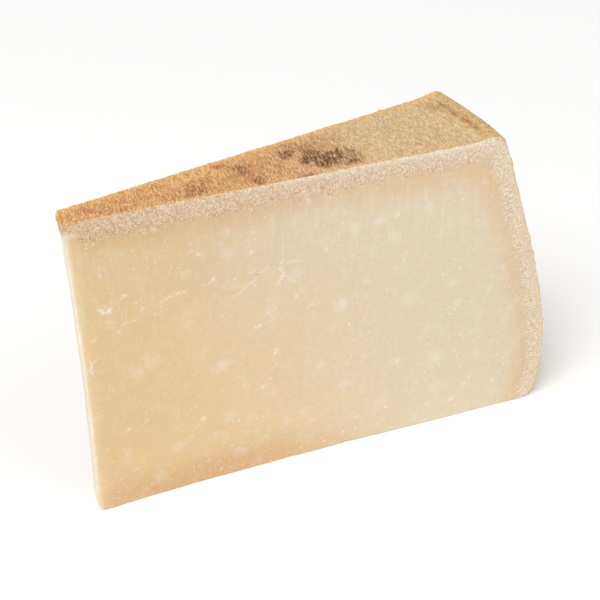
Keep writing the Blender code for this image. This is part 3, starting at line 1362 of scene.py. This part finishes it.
    def map(self, mesh: bpy.types.Mesh, block: Array, place: Array) -> None:
        """Lay the sides out: the two long cuts full size, then the base, the tip and the hidden ones."""
        gap, column = 1 * MM, 176 * MM
        corners = {
            Side.FRONT: (gap, gap),
            Side.BACK: (gap, self.form.height + 2 * gap),
            Side.BASE: (column + gap, gap),
            Side.TIP: (column + 48 * MM, gap),
            Side.TOP: (column + gap, 178 * MM),
            Side.HEEL: (column + gap, 197 * MM),
        }
        scales = {Side.TOP: 0.4, Side.HEEL: 0.35}
        patches = []
        for side, corner in corners.items():
            flat = self.flat(side, place)
            flat = flat[:, ::-1] if side is Side.BASE else flat
            patches.append(Patch(whole_faces(mesh, side.has(block)), flat, corner, scales.get(side, 1.0)))
        lay_out(mesh, patches, 241 * MM)


def boxed(places: Array, line: Array, reach: float) -> Array:
    """Which places on a plane lie in the box round a line, widened by a reach."""
    return np.all((places > line.min(0) - reach) & (places < line.max(0) + reach), axis=1)


def nearest(points: Array, line: Array) -> tuple[Array, Array, Array]:
    """Measure points against a line of many short steps.

    Args:
        points: places on a plane, one row each.
        line: the line's points.

    Returns:
        The distance to the line, the share of its length at the nearest place, and the
        distance again with a sign that tells the line's two sides apart.
    """
    if not len(points):
        return np.zeros(0), np.zeros(0), np.zeros(0)
    start, run = line[:-1], line[1:] - line[:-1]
    off = points[:, None, :] - start[None]
    share = np.clip((off * run).sum(2) / np.maximum((run**2).sum(1), 1e-12), 0, 1)
    gap = off - share[..., None] * run
    distance = np.linalg.norm(gap, axis=2)
    best = distance.argmin(1)
    rows = np.arange(len(points))
    turn = run[best, 0] * gap[rows, best, 1] - run[best, 1] * gap[rows, best, 0]
    near = distance[rows, best]
    return near, (best + share[rows, best]) / len(run), np.copysign(near, turn)


# ---------------------------------------------------------------- the rind


@dataclass(frozen=True)
class Stain:
    """A darker patch on the top of the rind, in millimetres along and behind the front cut."""

    x: float
    behind: float
    half_length: float
    half_width: float
    strength: float
    warm: bool = False  # reddish instead of dark


TOP_STAINS = (
    Stain(90.0, 8.6, 8.6, 4.9, 1.0),
    Stain(83.5, 10.2, 4.2, 3.6, 0.95),
    Stain(95.0, 5.0, 3.2, 3.2, 0.9),
    Stain(86.0, 14.0, 3.2, 2.6, 0.75),
    Stain(78.0, 16.5, 3.2, 3.4, 0.85),
    Stain(85.0, 18.6, 5.4, 2.8, 0.42),
    Stain(79.0, 0.6, 3.8, 1.8, 0.6),
    Stain(63.3, 3.4, 1.8, 3.0, 0.65),
    Stain(61.0, 11.6, 2.2, 3.6, 0.52),
    Stain(43.5, 4.6, 3.6, 2.8, 0.36),
    Stain(46.0, 6.2, 7.5, 4.6, 0.9, warm=True),
    Stain(66.0, 13.0, 8.0, 4.0, 0.7, warm=True),
    Stain(62.0, 7.0, 4.5, 4.6, 0.85, warm=True),
    Stain(83.0, 22.0, 6.0, 3.4, 0.7, warm=True),
    Stain(94.0, 19.0, 5.4, 5.0, 0.85, warm=True),
    Stain(87.0, 16.5, 6.5, 4.6, 0.95, warm=True),
    Stain(12.0, 4.6, 4.4, 2.6, 0.85, warm=True),
    Stain(21.0, 5.2, 4.4, 3.6, 0.8, warm=True),
    Stain(56.5, 16.5, 3.8, 3.0, 0.9, warm=True),
    Stain(72.0, 9.0, 5.0, 5.0, 0.5, warm=True),
    Stain(33.0, 5.0, 5.0, 3.0, 0.5, warm=True),
    Stain(30.0, 11.0, 5.0, 2.0, 0.4, warm=True),
)


def stains(form: ChunkForm, points: Array, warm: bool) -> Array:
    """How dark, or how reddish, each point of the top is.

    Args:
        form: the chunk.
        points: positions in the frame.
        warm: whether the reddish stains are asked for.

    Returns:
        The stain, from 0 to 1.
    """
    along = form.run(points)
    behind = points[:, 1] - form.front_y(points[:, 0] - form.axis_x, points[:, 2])
    slant = np.column_stack([points[:, 0] - 0.14 * points[:, 1], points[:, 1] * 0.25, points[:, 2]])
    uneven = 0.40 * noise_at(points, 4.5 * MM, 1.9) + 0.34 * noise_at(slant, 1.1 * MM, 7.7)
    total = np.zeros(len(points))
    for stain in (each for each in TOP_STAINS if each.warm is warm):
        x = (along - stain.x * MM) / (stain.half_length * MM)
        y = (behind - stain.behind * MM) / (stain.half_width * MM)
        share = 1 - smooth(np.hypot(x, y) + uneven, 0.40, 1.45)
        total = np.maximum(total, share * stain.strength)
    return total


@dataclass
class Rind:
    """The rind: a closed shell over the top and down the heel, with its cut edges showing."""

    form: ChunkForm
    finish: RindFinish = field(default_factory=RindFinish)
    cells: tuple[int, int, int] = (560, 64, 16)
    thickness: float = 8.6 * MM
    arris: float = 0.50 * MM
    foot_round: float = 2.2 * MM  # extra rounding where the side meets the base
    proud: float = 0.05 * MM  # the cut rind stands this far out of the cut paste
    sink: float = 0.32 * MM  # and dips this far beyond its inner border
    border: float = 7.0 * MM  # mean depth of that border
    squeeze: float = 30 * MM  # the inner face gives up the corner's length over this run
    outline_steps: int = 240  # points along the top and along the side
    rim_steps: int = 13  # and round the rim

    def paths(self) -> tuple[Array, Array, Array]:
        """The shell's outer and inner outlines.

        Returns:
            The distance along the outer outline, and the radius and height of both
            outlines there. All start before the tip and end below the base.
        """
        form, extra, steps = self.form, 6 * MM, self.outline_steps
        rim_top = form.height + form.rim_rise
        top_r = np.linspace(form.tip_distance - extra, form.rim_radius, steps)
        turns = np.linspace(math.pi / 2, form.lean, self.rim_steps + 1)[1:]
        arc_r = form.rim_radius + form.rim_round * np.cos(turns)
        arc_z = rim_top - form.rim_round + form.rim_round * np.sin(turns)
        side_z = np.linspace(arc_z[-1], -extra, steps)[1:]
        radius = np.concatenate([top_r, arc_r, form.side_radius(side_z)])
        height = np.concatenate([form.top_height(top_r), arc_z, side_z])
        along = self.run_length(radius, height) - extra

        corner_z = form.height - self.thickness
        inner_top = np.linspace(form.tip_distance - extra, self.inner_radius(corner_z), steps)
        inner_z = np.linspace(corner_z, -extra, steps)[1:]
        inner_r = np.concatenate([inner_top, self.inner_radius(inner_z)])
        inner_h = np.concatenate([np.full(steps, corner_z), inner_z])
        inner_along = self.run_length(inner_r, inner_h) - extra
        corner = (along[steps - 1] + along[steps + self.rim_steps - 1]) / 2
        inner_corner = inner_along[steps - 1]
        outer_knots = [along[0], corner - self.squeeze, corner, corner + self.squeeze, along[-1]]
        regained = corner + self.squeeze - (along[-1] - inner_along[-1])
        inner_knots = [along[0], corner - self.squeeze, inner_corner, regained, inner_along[-1]]
        matched = np.interp(along, outer_knots, inner_knots)
        inner = np.column_stack([np.interp(matched, inner_along, line) for line in (inner_r, inner_h)])
        return along, np.column_stack([radius, height]), inner

    @staticmethod
    def run_length(radius: Array, height: Array) -> Array:
        """The distance run along an outline at each of its points."""
        return np.concatenate([[0], np.cumsum(np.hypot(np.diff(radius), np.diff(height)))])

    def inner_radius(self, z: Array) -> Array:
        """The inner face's radius at height z."""
        return self.form.side_radius(z) - self.thickness * np.hypot(1, self.form.side_slope(z))

    def locate(self, place: Array, width: Array) -> Array:
        """Points of the shell in the frame.

        Args:
            place: distances along the outline from the tip, from the front cut, and
                outwards from the inner face.
            width: the chunk's width at each point.

        Returns:
            Positions, one row each.
        """
        form = self.form
        along, outer, inner = self.paths()
        share = place[:, 2] / self.thickness
        (inner_r, inner_z), (outer_r, outer_z) = (
            [np.interp(place[:, 0], along, line) for line in outline.T] for outline in (inner, outer)
        )
        r, z = inner_r * (1 - share) + outer_r * share, inner_z * (1 - share) + outer_z * share
        across = place[:, 1] / width
        turn = form.turn(across)
        fade = 1 - np.clip(place[:, 0] / (60 * MM), 0, 1)
        shift = form.tip_x(np.clip(across, 0, 1), z) - form.tip_distance * np.cos(turn)
        return form.place(r * np.cos(turn) + shift * fade, across, z)

    def build(self) -> bpy.types.Object:
        """Make the rind and return the piece."""
        form = self.form
        mesh = mesh_of(unit_block(self.cells), "rind")
        block = points_of(mesh)
        path, outer, _ = self.paths()
        length = self.outline_length()
        rows = [row * MM / length for row in (0.12, 0.3, 0.6)]
        along = spaced(block[:, 0], self.cells[0], rows, both=True) * length
        across = spaced(block[:, 1], self.cells[1], (0.003, 0.008, 0.016, 0.028), both=True)
        out = 1 - spaced(1 - block[:, 2], self.cells[2], (0.012, 0.035, 0.07))
        r = np.interp(along, path, outer[:, 0])
        z = np.interp(along, path, outer[:, 1])
        width = form.width(r * np.cos(form.turn(across)), z)
        place = np.column_stack([along, across * width, out * self.thickness])
        size = np.column_stack([np.full(len(r), length), width, np.full(len(r), self.thickness)])
        plain = self.locate(place, width)
        depth = form.rind_depth(plain)
        to_foot = np.hypot(length - place[:, 0], self.thickness - place[:, 2])
        by_tip = 1 - smooth(place[:, 0], 0.5 * MM, 3 * MM)
        radius = self.arris * (1 + 0.5 * noise_at(plain, 3 * MM, 6.6)) * (1 - 0.75 * by_tip)
        radius += self.foot_round * hill(to_foot, 3.5 * MM)
        radius = np.minimum(radius, 0.3 * width)
        facing = outward(place, size, radius) ** 2

        fine = noise_at(plain, 0.75 * MM, 1.1)
        mid = noise_at(plain, 2.1 * MM, 2.2)
        edge = depth + (1.1 * mid + 0.6 * fine) * MM
        sunk = smooth(edge, self.border - 1.6 * MM, self.border + 1.2 * MM)
        cut_lift = self.proud + form.band_relief(plain) - self.sink * sunk
        steps = 0.5 + 0.5 * np.sin(plain[:, 2] / (0.22 * MM) + 4 * mid)
        flaky = (0.10 + 0.35 * steps + 0.3 * mid) * MM * smooth(depth, 0.2 * MM, 1.4 * MM)
        tip_lift = cut_lift + flaky * (1 - smooth(depth, 3.0 * MM, 4.6 * MM))
        slant = np.column_stack([plain[:, 0] - 0.05 * plain[:, 1], plain[:, 1] * 0.3, plain[:, 2] * 0.5])
        ridges = noise_at(slant, 0.55 * MM, 3.3)
        behind = place[:, 1]
        crease_at = self.crease(behind)
        crease = hill(along - crease_at, 0.9 * MM) * smooth(behind, 5 * MM, 9 * MM)
        crease *= 1 - smooth(behind, 30 * MM, 34 * MM)
        crease *= np.clip(1.0 + 1.3 * noise_at(plain, 2.6 * MM, 5.1), 0.40, 1)
        outer_rim = hill(along - crease_at + 3.6 * MM, 2.0 * MM) * hill(behind - 29 * MM, 3.6 * MM)
        crease = np.maximum(crease, 0.55 * outer_rim)
        to_rim = form.rim_radius - form.tip_distance
        down_side = smooth(along, to_rim, to_rim + 12 * MM)
        outer_lift = 0.20 * noise_at(plain, 15 * MM, 4.0) + 0.10 * mid + 0.06 * ridges
        outer_lift += down_side * (0.22 * mid + 0.42 * noise_at(plain, 3.4 * MM, 9.1))
        by_back = 1 - smooth(width - behind, 0.2 * MM, 1.2 * MM)
        outer_lift += 0.22 * ridges * by_back
        notch = hill(plain[:, 2] - 49 * MM, 1.1 * MM) * down_side * (1 - smooth(behind, 2 * MM, 8 * MM))
        outer_lift = (outer_lift - 0.32 * crease - 0.55 * notch) * MM
        lift = facing[:, 0] * tip_lift + facing[:, 1] * cut_lift + facing[:, 2] * outer_lift
        at_base, inside = Side.HEEL.has(block), Side.BASE.has(block)  # the block is bent over the top
        lift = np.where(at_base | inside, np.minimum(lift, 0), lift)
        lift -= 0.06 * MM * at_base * smooth(depth, 4.0 * MM, 4.7 * MM)
        points = self.locate(rounded(place, size, radius, lift), width)
        points[:, 2] = np.maximum(points[:, 2], 0)
        move_points(mesh, points)

        at_rim = hill(along - form.rim_radius + form.tip_distance - 2 * MM, 4 * MM)
        early = 1 - smooth(along, 2 * MM, 14 * MM)
        reach = (0.10 + 0.4 * early + 0.8 * at_rim + 0.9 * down_side) * MM
        creep = 1 - smooth(depth + (0.6 * mid + 0.6 * fine) * MM, 0.3 * reach, 1.3 * reach)
        creep *= np.clip(early + 0.6 * at_rim + 0.6 * down_side, 0, 1)
        low_edge = depth + (1.0 * mid + 0.6 * fine) * MM
        tip_creep = facing[:, 0] * (1 - smooth(low_edge, 1.7 * MM, 2.7 * MM)) * (block[:, 0] < 0.5)
        upward = facing[:, 2]
        wrap = smooth(upward + (0.3 * fine + 0.3 * early) * smooth(upward, 0.02, 0.2), 0.40, 0.85)
        wrap *= smooth(behind + (0.45 * fine + 0.35 * mid) * MM, -0.1 * MM, 0.35 * MM)
        is_outer = np.maximum(wrap, np.maximum(creep, tip_creep))
        is_outer *= block[:, 2] > 0.5
        stain, blush = (stains(form, plain, warm) * is_outer for warm in (False, True))
        clear = np.clip(1 - 1.2 * stain, 0, 1) * (1 - 0.7 * crease)
        store(mesh, rind_depth=depth, run=form.run(plain), outer=is_outer, stain=stain, blush=blush)
        # crease is kept for the finish, which paints shade down the groove
        store(mesh, crease=crease * is_outer, clear=clear, edge=form.by_back(plain))
        self.map(mesh, block, place, length)
        return add_piece("rind_shell", mesh, self.finish.make(form))

    def outline_length(self) -> float:
        """The length of the outer outline from the tip to the base."""
        along, outer, _ = self.paths()
        falling = slice(None, -self.outline_steps, -1)
        return float(np.interp(0.0, outer[falling, 1], along[falling]))

    def crease(self, behind: Array) -> Array:
        """Where the crease beside the rim runs, along the outline from the tip."""
        wander = 0.5 * MM * np.sin(behind / (4.7 * MM)) + 0.15 * MM * np.sin(behind / (1.7 * MM))
        return self.form.rim_radius - self.form.tip_distance - 3.2 * MM + wander

    def map(self, mesh: bpy.types.Mesh, block: Array, place: Array, length: float) -> None:
        """Lay the shell out: the outer face in two lengths, and the cut edges in four strips."""
        sides = {side: whole_faces(mesh, side.has(block)) for side in Side}
        gap = 1 * MM
        on_top = whole_faces(mesh, block[:, 0] < 0.5 + TINY)
        half = 0.5 * length
        flat = place[:, [0, 1]]
        strip = place[:, [0, 2]]
        late = np.array([half, 0.0])
        rows = [gap, gap + 42 * MM, gap + 88 * MM]
        patches = [
            Patch(sides[Side.TOP] & on_top, flat, (gap, rows[0])),
            Patch(sides[Side.TOP] & ~on_top, flat - late, (gap, rows[1])),
        ]
        row = rows[2] + gap
        for side in (Side.FRONT, Side.BACK):
            patches.append(Patch(sides[side] & on_top, strip, (gap, row)))
            patches.append(Patch(sides[side] & ~on_top, strip - late, (gap, row + 9 * MM)))
            row += 18 * MM
        patches += [
            Patch(sides[Side.TIP], place[:, [1, 2]], (gap, row)),
            Patch(sides[Side.HEEL], place[:, [1, 2]], (gap + 12 * MM, row)),
            Patch(sides[Side.BASE], flat, (gap + 60 * MM, row), 0.2),
        ]
        lay_out(mesh, patches, 136 * MM)


# ---------------------------------------------------------------- scattered bits


@dataclass(frozen=True)
class Bits:
    """How one kind of small bit is shaped and set on a surface. Sizes in millimetres."""

    name: str
    count: int
    small: float  # least length
    large: float  # greatest length
    slender: float  # width as a share of the length
    flat: float  # thickness as a share of the width
    sunk: float  # how much of its half thickness lies under the surface, from 0 to 1
    rugged: float = 0.25
    order: float = 0.0  # how strongly the bits lie the way they are led
    mask: str = ""  # a number kept on the host that says how thickly they lie
    even: float = 2.0  # how alike their tones are: below 1 most are either dull or bright
    seed: int = 1


@dataclass
class Scatter:
    """Small bits strewn over a piece as one joined mesh."""

    bits: Bits
    material: bpy.types.Material
    lead: Callable[[Array], Array]  # the way the bits tend to lie at each place
    gain: Callable[[Array], Array] | None = None  # how much brighter they are at each place
    marks: Mapping[str, Callable[[Array], Array]] = field(default_factory=dict)  # kept for the finish

    def spots(self, hosts: Sequence[bpy.types.Object], weigh: Weigher) -> tuple[Array, Array]:
        """Choose places on the hosts, more where the weight is more.

        Args:
            hosts: the pieces that carry the bits.
            weigh: gives the weight of places from their positions and normals.

        Returns:
            Positions and normals, one row each.
        """
        rng = np.random.default_rng(self.bits.seed)
        triangles, masks = [], []
        for mesh in (host.data for host in hosts):
            mesh.calc_loop_triangles()
            corners = read(mesh.loop_triangles, "vertices", np.int64, 3).reshape(-1, 3)
            triangles.append(points_of(mesh)[corners])
            mask = np.ones(len(mesh.vertices))
            if self.bits.mask:
                mask = read(mesh.attributes[self.bits.mask].data, "value", np.float32).astype(float)
            masks.append(mask[corners].mean(1))
        triangles = np.concatenate(triangles)
        cross = np.cross(triangles[:, 1] - triangles[:, 0], triangles[:, 2] - triangles[:, 0])
        area = np.linalg.norm(cross, axis=1)
        normals = cross / np.maximum(area, 1e-15)[:, None]
        weight = area * weigh(triangles.mean(1), normals) * np.concatenate(masks)
        picks = rng.choice(len(area), self.bits.count, p=weight / weight.sum())
        shares = rng.dirichlet((1, 1, 1), self.bits.count)
        return (triangles[picks] * shares[:, :, None]).sum(1), normals[picks]

    def build(self, hosts: Sequence[bpy.types.Object], weigh: Weigher) -> bpy.types.Object:
        """Strew the bits and return the piece.

        Args:
            hosts: the pieces that carry them.
            weigh: gives the weight of places from their positions and normals.

        Returns:
            The piece.
        """
        bits = self.bits
        rng = np.random.default_rng(bits.seed + 100)
        places, normals = self.spots(hosts, weigh)
        seed = bpy.data.meshes.new("seed")
        bm = bmesh.new()
        bmesh.ops.create_icosphere(bm, subdivisions=1, radius=1.0)
        bm.to_mesh(seed)
        bm.clear()
        for _ in range(bits.count):
            bm.from_mesh(seed)
        mesh = mesh_of(bm, bits.name)

        shape = points_of(seed)
        knobs = shape[None] * (1 + rng.uniform(-bits.rugged, bits.rugged, (bits.count, len(shape), 1)))
        length = bits.small + (bits.large - bits.small) * rng.beta(1.4, 2.6, bits.count)
        width = length * bits.slender * rng.uniform(0.7, 1.3, bits.count)
        depth = width * bits.flat * rng.uniform(0.8, 1.2, bits.count)
        half = np.column_stack([length, width, depth]) * (0.5 * MM)
        local = knobs * half[:, None, :]
        heading = rng.normal(size=(bits.count, 3)) + bits.order * self.lead(places)
        first = unit(heading - (heading * normals).sum(1)[:, None] * normals)
        second = np.cross(normals, first)
        tilt = rng.normal(0, 0.4 * bits.flat, (bits.count, 1))
        basis = np.stack([first + tilt * normals, second, normals], axis=1)
        points = np.einsum("nvk,nkj->nvj", local, basis) + places[:, None, :]
        points -= (normals * (bits.sunk * half[:, 2:3]))[:, None, :]
        points[:, :, 2] = np.maximum(points[:, :, 2], 0.02 * MM)
        move_points(mesh, points.reshape(-1, 3))
        tone = rng.beta(bits.even, bits.even, bits.count) + (self.gain(places) if self.gain else 0.0)
        kept = {"tone": tone, "heel": self.heel_share(places)}
        kept |= {name: measure(places) for name, measure in self.marks.items()}
        store(mesh, **{name: np.repeat(values, len(shape)) for name, values in kept.items()})
        self.map(mesh, shape)
        return add_piece(bits.name, mesh, self.material)

    @staticmethod
    def heel_share(places: Array) -> Array:
        """How near to the heel places are, from 0 at the tip to 1."""
        low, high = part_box(NODE)
        return np.clip((places[:, 0] - low.x) / (high.x - low.x), 0, 1)

    def map(self, mesh: bpy.types.Mesh, shape: Array) -> None:
        """Give each bit a small square of its own on the map."""
        columns = math.ceil(math.sqrt(self.bits.count))
        index = np.arange(self.bits.count)
        corner = np.column_stack([index % columns, index // columns])
        flat = (shape[None, :, :2] * 0.42 + 0.5 + corner[:, None, :]).reshape(-1, 2)
        lay_out(mesh, [Patch(np.ones(len(mesh.polygons), bool), flat, (0.0, 0.0))], float(columns))


# ---------------------------------------------------------------- the studio


@dataclass(frozen=True)
class Lamp:
    """A soft square light, aimed at the chunk."""

    name: str
    azimuth: float  # degrees, from the front towards the right
    elevation: float  # degrees
    distance: float
    side: float
    power: float
    colour: Colour = (1.0, 1.0, 1.0)


@dataclass
class Studio:
    """A plain pale floor, soft light and the camera."""

    azimuth: float = -27.55  # degrees; 0 looks along +Y
    elevation: float = 35.37
    distance: float = 0.4247
    aim: tuple[float, float, float] = (-4.90 * MM, 2.42 * MM, 0.35 * MM)  # from the box's centre
    lens: float = 72.75
    floor_side: float = 6.0
    floor_colour: Colour = (0.97, 0.97, 0.965)
    sky: float = 0.36
    lamps: tuple[Lamp, ...] = (
        Lamp("key", -58, 56, 4.0, 2.4, 134.0),
        Lamp("fill", 38, 44, 4.0, 3.0, 30.0),
    )

    @staticmethod
    def direction(azimuth: float, elevation: float) -> Vector:
        """The direction from the chunk to a place at an azimuth and elevation in degrees."""
        a, e = math.radians(azimuth), math.radians(elevation)
        return Vector((math.sin(a) * math.cos(e), -math.cos(a) * math.cos(e), math.sin(e)))

    def build(self) -> None:
        """Set up the floor, the lights, the sky and the camera."""
        low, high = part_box(NODE)
        target = (low + high) / 2 + Vector(self.aim)
        scene = bpy.context.scene
        camera = bpy.data.objects.new("camera", bpy.data.cameras.new("camera"))
        camera.data.lens = self.lens
        camera.data.sensor_width = 36.0
        camera.data.clip_start = 0.01
        camera.location = target + self.distance * self.direction(self.azimuth, self.elevation)
        camera.rotation_euler = Euler((math.radians(90 - self.elevation), 0.0, math.radians(self.azimuth)))
        scene.collection.objects.link(camera)
        scene.camera = camera
        for lamp in self.lamps:
            data = bpy.data.lights.new(lamp.name, "AREA")
            data.shape = "SQUARE"
            data.size = lamp.side
            data.energy = lamp.power
            data.color = lamp.colour
            light = bpy.data.objects.new(lamp.name, data)
            aim = self.direction(lamp.azimuth, lamp.elevation)
            light.location = target + lamp.distance * aim
            light.rotation_euler = aim.to_track_quat("Z", "Y").to_euler()
            scene.collection.objects.link(light)
        self.build_floor(low.z)
        world = bpy.data.worlds.new("sky")
        world.use_nodes = True
        background = world.node_tree.nodes["Background"]
        background.inputs["Color"].default_value = (1.0, 1.0, 1.0, 1.0)
        background.inputs["Strength"].default_value = self.sky
        scene.world = world
        scene.view_settings.view_transform = "Standard"
        LOG.info("studio: %d lamps", len(self.lamps))

    def build_floor(self, height: float) -> None:
        """Lay the floor at a height."""
        bm = bmesh.new()
        bmesh.ops.create_grid(bm, x_segments=1, y_segments=1, size=self.floor_side / 2)
        bmesh.ops.translate(bm, verts=bm.verts, vec=(0, 0, height))
        mesh = mesh_of(bm, "floor")
        mesh.materials.append(Bench("floor").finish({"Base Color": self.floor_colour, "Roughness": 0.9}))
        floor = bpy.data.objects.new("floor", mesh)
        bpy.context.scene.collection.objects.link(floor)


# ---------------------------------------------------------------- the chunk


@dataclass
class Chunk:
    """The whole dressed chunk."""

    form: ChunkForm

    def build(self) -> list[bpy.types.Object]:
        """Make every piece and return them."""
        form = self.form
        paste = Paste(form, CutMarks()).build()
        rind = Rind(form).build()
        grain = Scatter(
            Bits("rind_grain", 9900, 0.40, 1.30, 0.34, 0.5, 0.45, 0.3, order=1.0, even=0.6, seed=3),
            BitFinish(
                "rind_grain",
                srgb(204, 161, 117), srgb(232, 217, 195), srgb(213, 186, 149), srgb(240, 234, 220),
            ).make(),
            form.inward,
            self.bright_fringe,
        ).build([rind, paste], self.on_cut_rind)
        flecks = Scatter(
            Bits("rind_flecks", 9900, 0.45, 1.90, 0.19, 0.4, 0.5, 0.3, order=4.0, mask="clear", seed=8),
            FleckFinish().make(form),
            self.across,
            marks={"edge": form.by_back, "blush": lambda points: stains(form, points, warm=True)},
        ).build([rind], self.on_rind)
        crystals = Scatter(
            Bits("crystals", 1300, 0.20, 0.80, 0.6, 0.14, 0.3, 0.25, order=1.5, seed=5),
            CrystalFinish().make(form),
            self.upwards,
            marks={"rind_depth": form.rind_depth, "run": form.run},
        ).build([paste], self.on_cut_paste)
        flakes = Scatter(
            Bits("tear_flakes", 1100, 0.20, 0.75, 0.55, 0.2, 0.2, 0.35, order=1.0, mask="lip", seed=6),
            BitFinish(
                "tear_flakes",
                srgb(230, 213, 183), srgb(246, 241, 232), srgb(232, 220, 200), srgb(246, 242, 234),
                roughness=0.45,
            ).make(),
            self.upwards,
        ).build([paste], self.on_tears)
        return [paste, rind, grain, flecks, crystals, flakes]

    def bright_fringe(self, points: Array) -> Array:
        """How much paler the grain is at its inner border and along the top's arris."""
        depth = self.form.rind_depth(points)
        return 0.45 * smooth(depth, 4.8 * MM, 6.6 * MM) + 0.2 * (1 - smooth(depth, 0.8 * MM, 2.0 * MM))

    @staticmethod
    def across(points: Array) -> Array:
        """The way the rind's streaks run: from the front cut to the back cut."""
        return np.broadcast_to(np.array([0.10, 1.0, 0.0]), points.shape)

    @staticmethod
    def upwards(points: Array) -> Array:
        """The way the crystals lean: up towards the heel."""
        return np.broadcast_to(np.array([0.75, 0.0, 0.66]), points.shape)

    def on_cut_rind(self, points: Array, normals: Array) -> Array:
        """How thickly the grain lies: on the cut edges only, thinning out inwards."""
        form = self.form
        depth = form.rind_depth(points)
        x, z = points[:, 0] - form.axis_x, points[:, 2]
        at_tip = x < form.tip_distance + 5 * MM
        on_tip = (normals[:, 0] < -0.75) & at_tip & (depth > 3.5 * MM)
        outside = np.maximum(form.front_y(x, z) - points[:, 1], points[:, 1] - form.back_y(x, z))
        cut = ((np.abs(normals[:, 1]) > 0.70) & (outside > -0.20 * MM)) | on_tip
        ragged = noise_at(points, 2.1 * MM, 2.2) * 1.5 * MM + noise_at(points, 1.3 * MM, 7.2) * 1.6 * MM
        run = form.run(points)
        arris = 1.2 * MM - 0.8 * MM * smooth(run, 150 * MM, 160 * MM)
        thick = (1 - smooth(depth + ragged, 6.0 * MM, 8.6 * MM)) * smooth(depth / arris, 0.1, 1.0)
        beside_tip = (1 - smooth(run, 0.5 * MM, 4 * MM)) * smooth(depth, 2 * MM, 4 * MM)
        return cut * thick * (1 - 0.7 * beside_tip)

    def on_rind(self, points: Array, normals: Array) -> Array:
        """How thickly the flecks lie: all over the outer face, most on the top."""
        depth = self.form.rind_depth(points)
        outer = (depth < 0.7 * MM) & (np.maximum(normals[:, 2], normals[:, 0]) > 0.6)
        return outer * (0.22 + 0.78 * (normals[:, 2] > 0.6))

    def on_cut_paste(self, points: Array, normals: Array) -> Array:
        """How thickly the crystals lie: on the cuts, more towards the foot and the heel."""
        depth = self.form.rind_depth(points)
        open_cut = (depth > 8 * MM) * (normals[:, 2] < 0.5)
        clumps = 0.5 + np.clip(noise_at(points, 14 * MM, 3.0), -0.4, 0.6)
        clumps *= np.clip(0.5 + 2.2 * noise_at(points, 4.5 * MM, 8.0), 0.08, 1.6)
        along = (points[:, 0] - self.form.axis_x) / self.form.belly_radius
        high = smooth(points[:, 2], 0.03, 0.09)
        return open_cut * clumps * np.maximum(along - 0.10 - 0.12 * high, 0.02) * (1.3 - 0.9 * high)

    def on_tears(self, points: Array, normals: Array) -> Array:
        """How thickly flakes lie beside the tears, apart from those under the cut rind."""
        return (self.form.rind_depth(points) > 7 * MM) * 1.0


def main() -> None:
    """Load the frame, dress the chunk and set up the studio."""
    logging.basicConfig(level=logging.INFO, format="%(name)s: %(message)s")
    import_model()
    form = ChunkForm.from_frame()
    Studio().build()
    pieces = Chunk(form).build()
    LOG.info("pieces: %s", ", ".join(piece.name for piece in pieces))


if __name__ == "__main__":
    main()
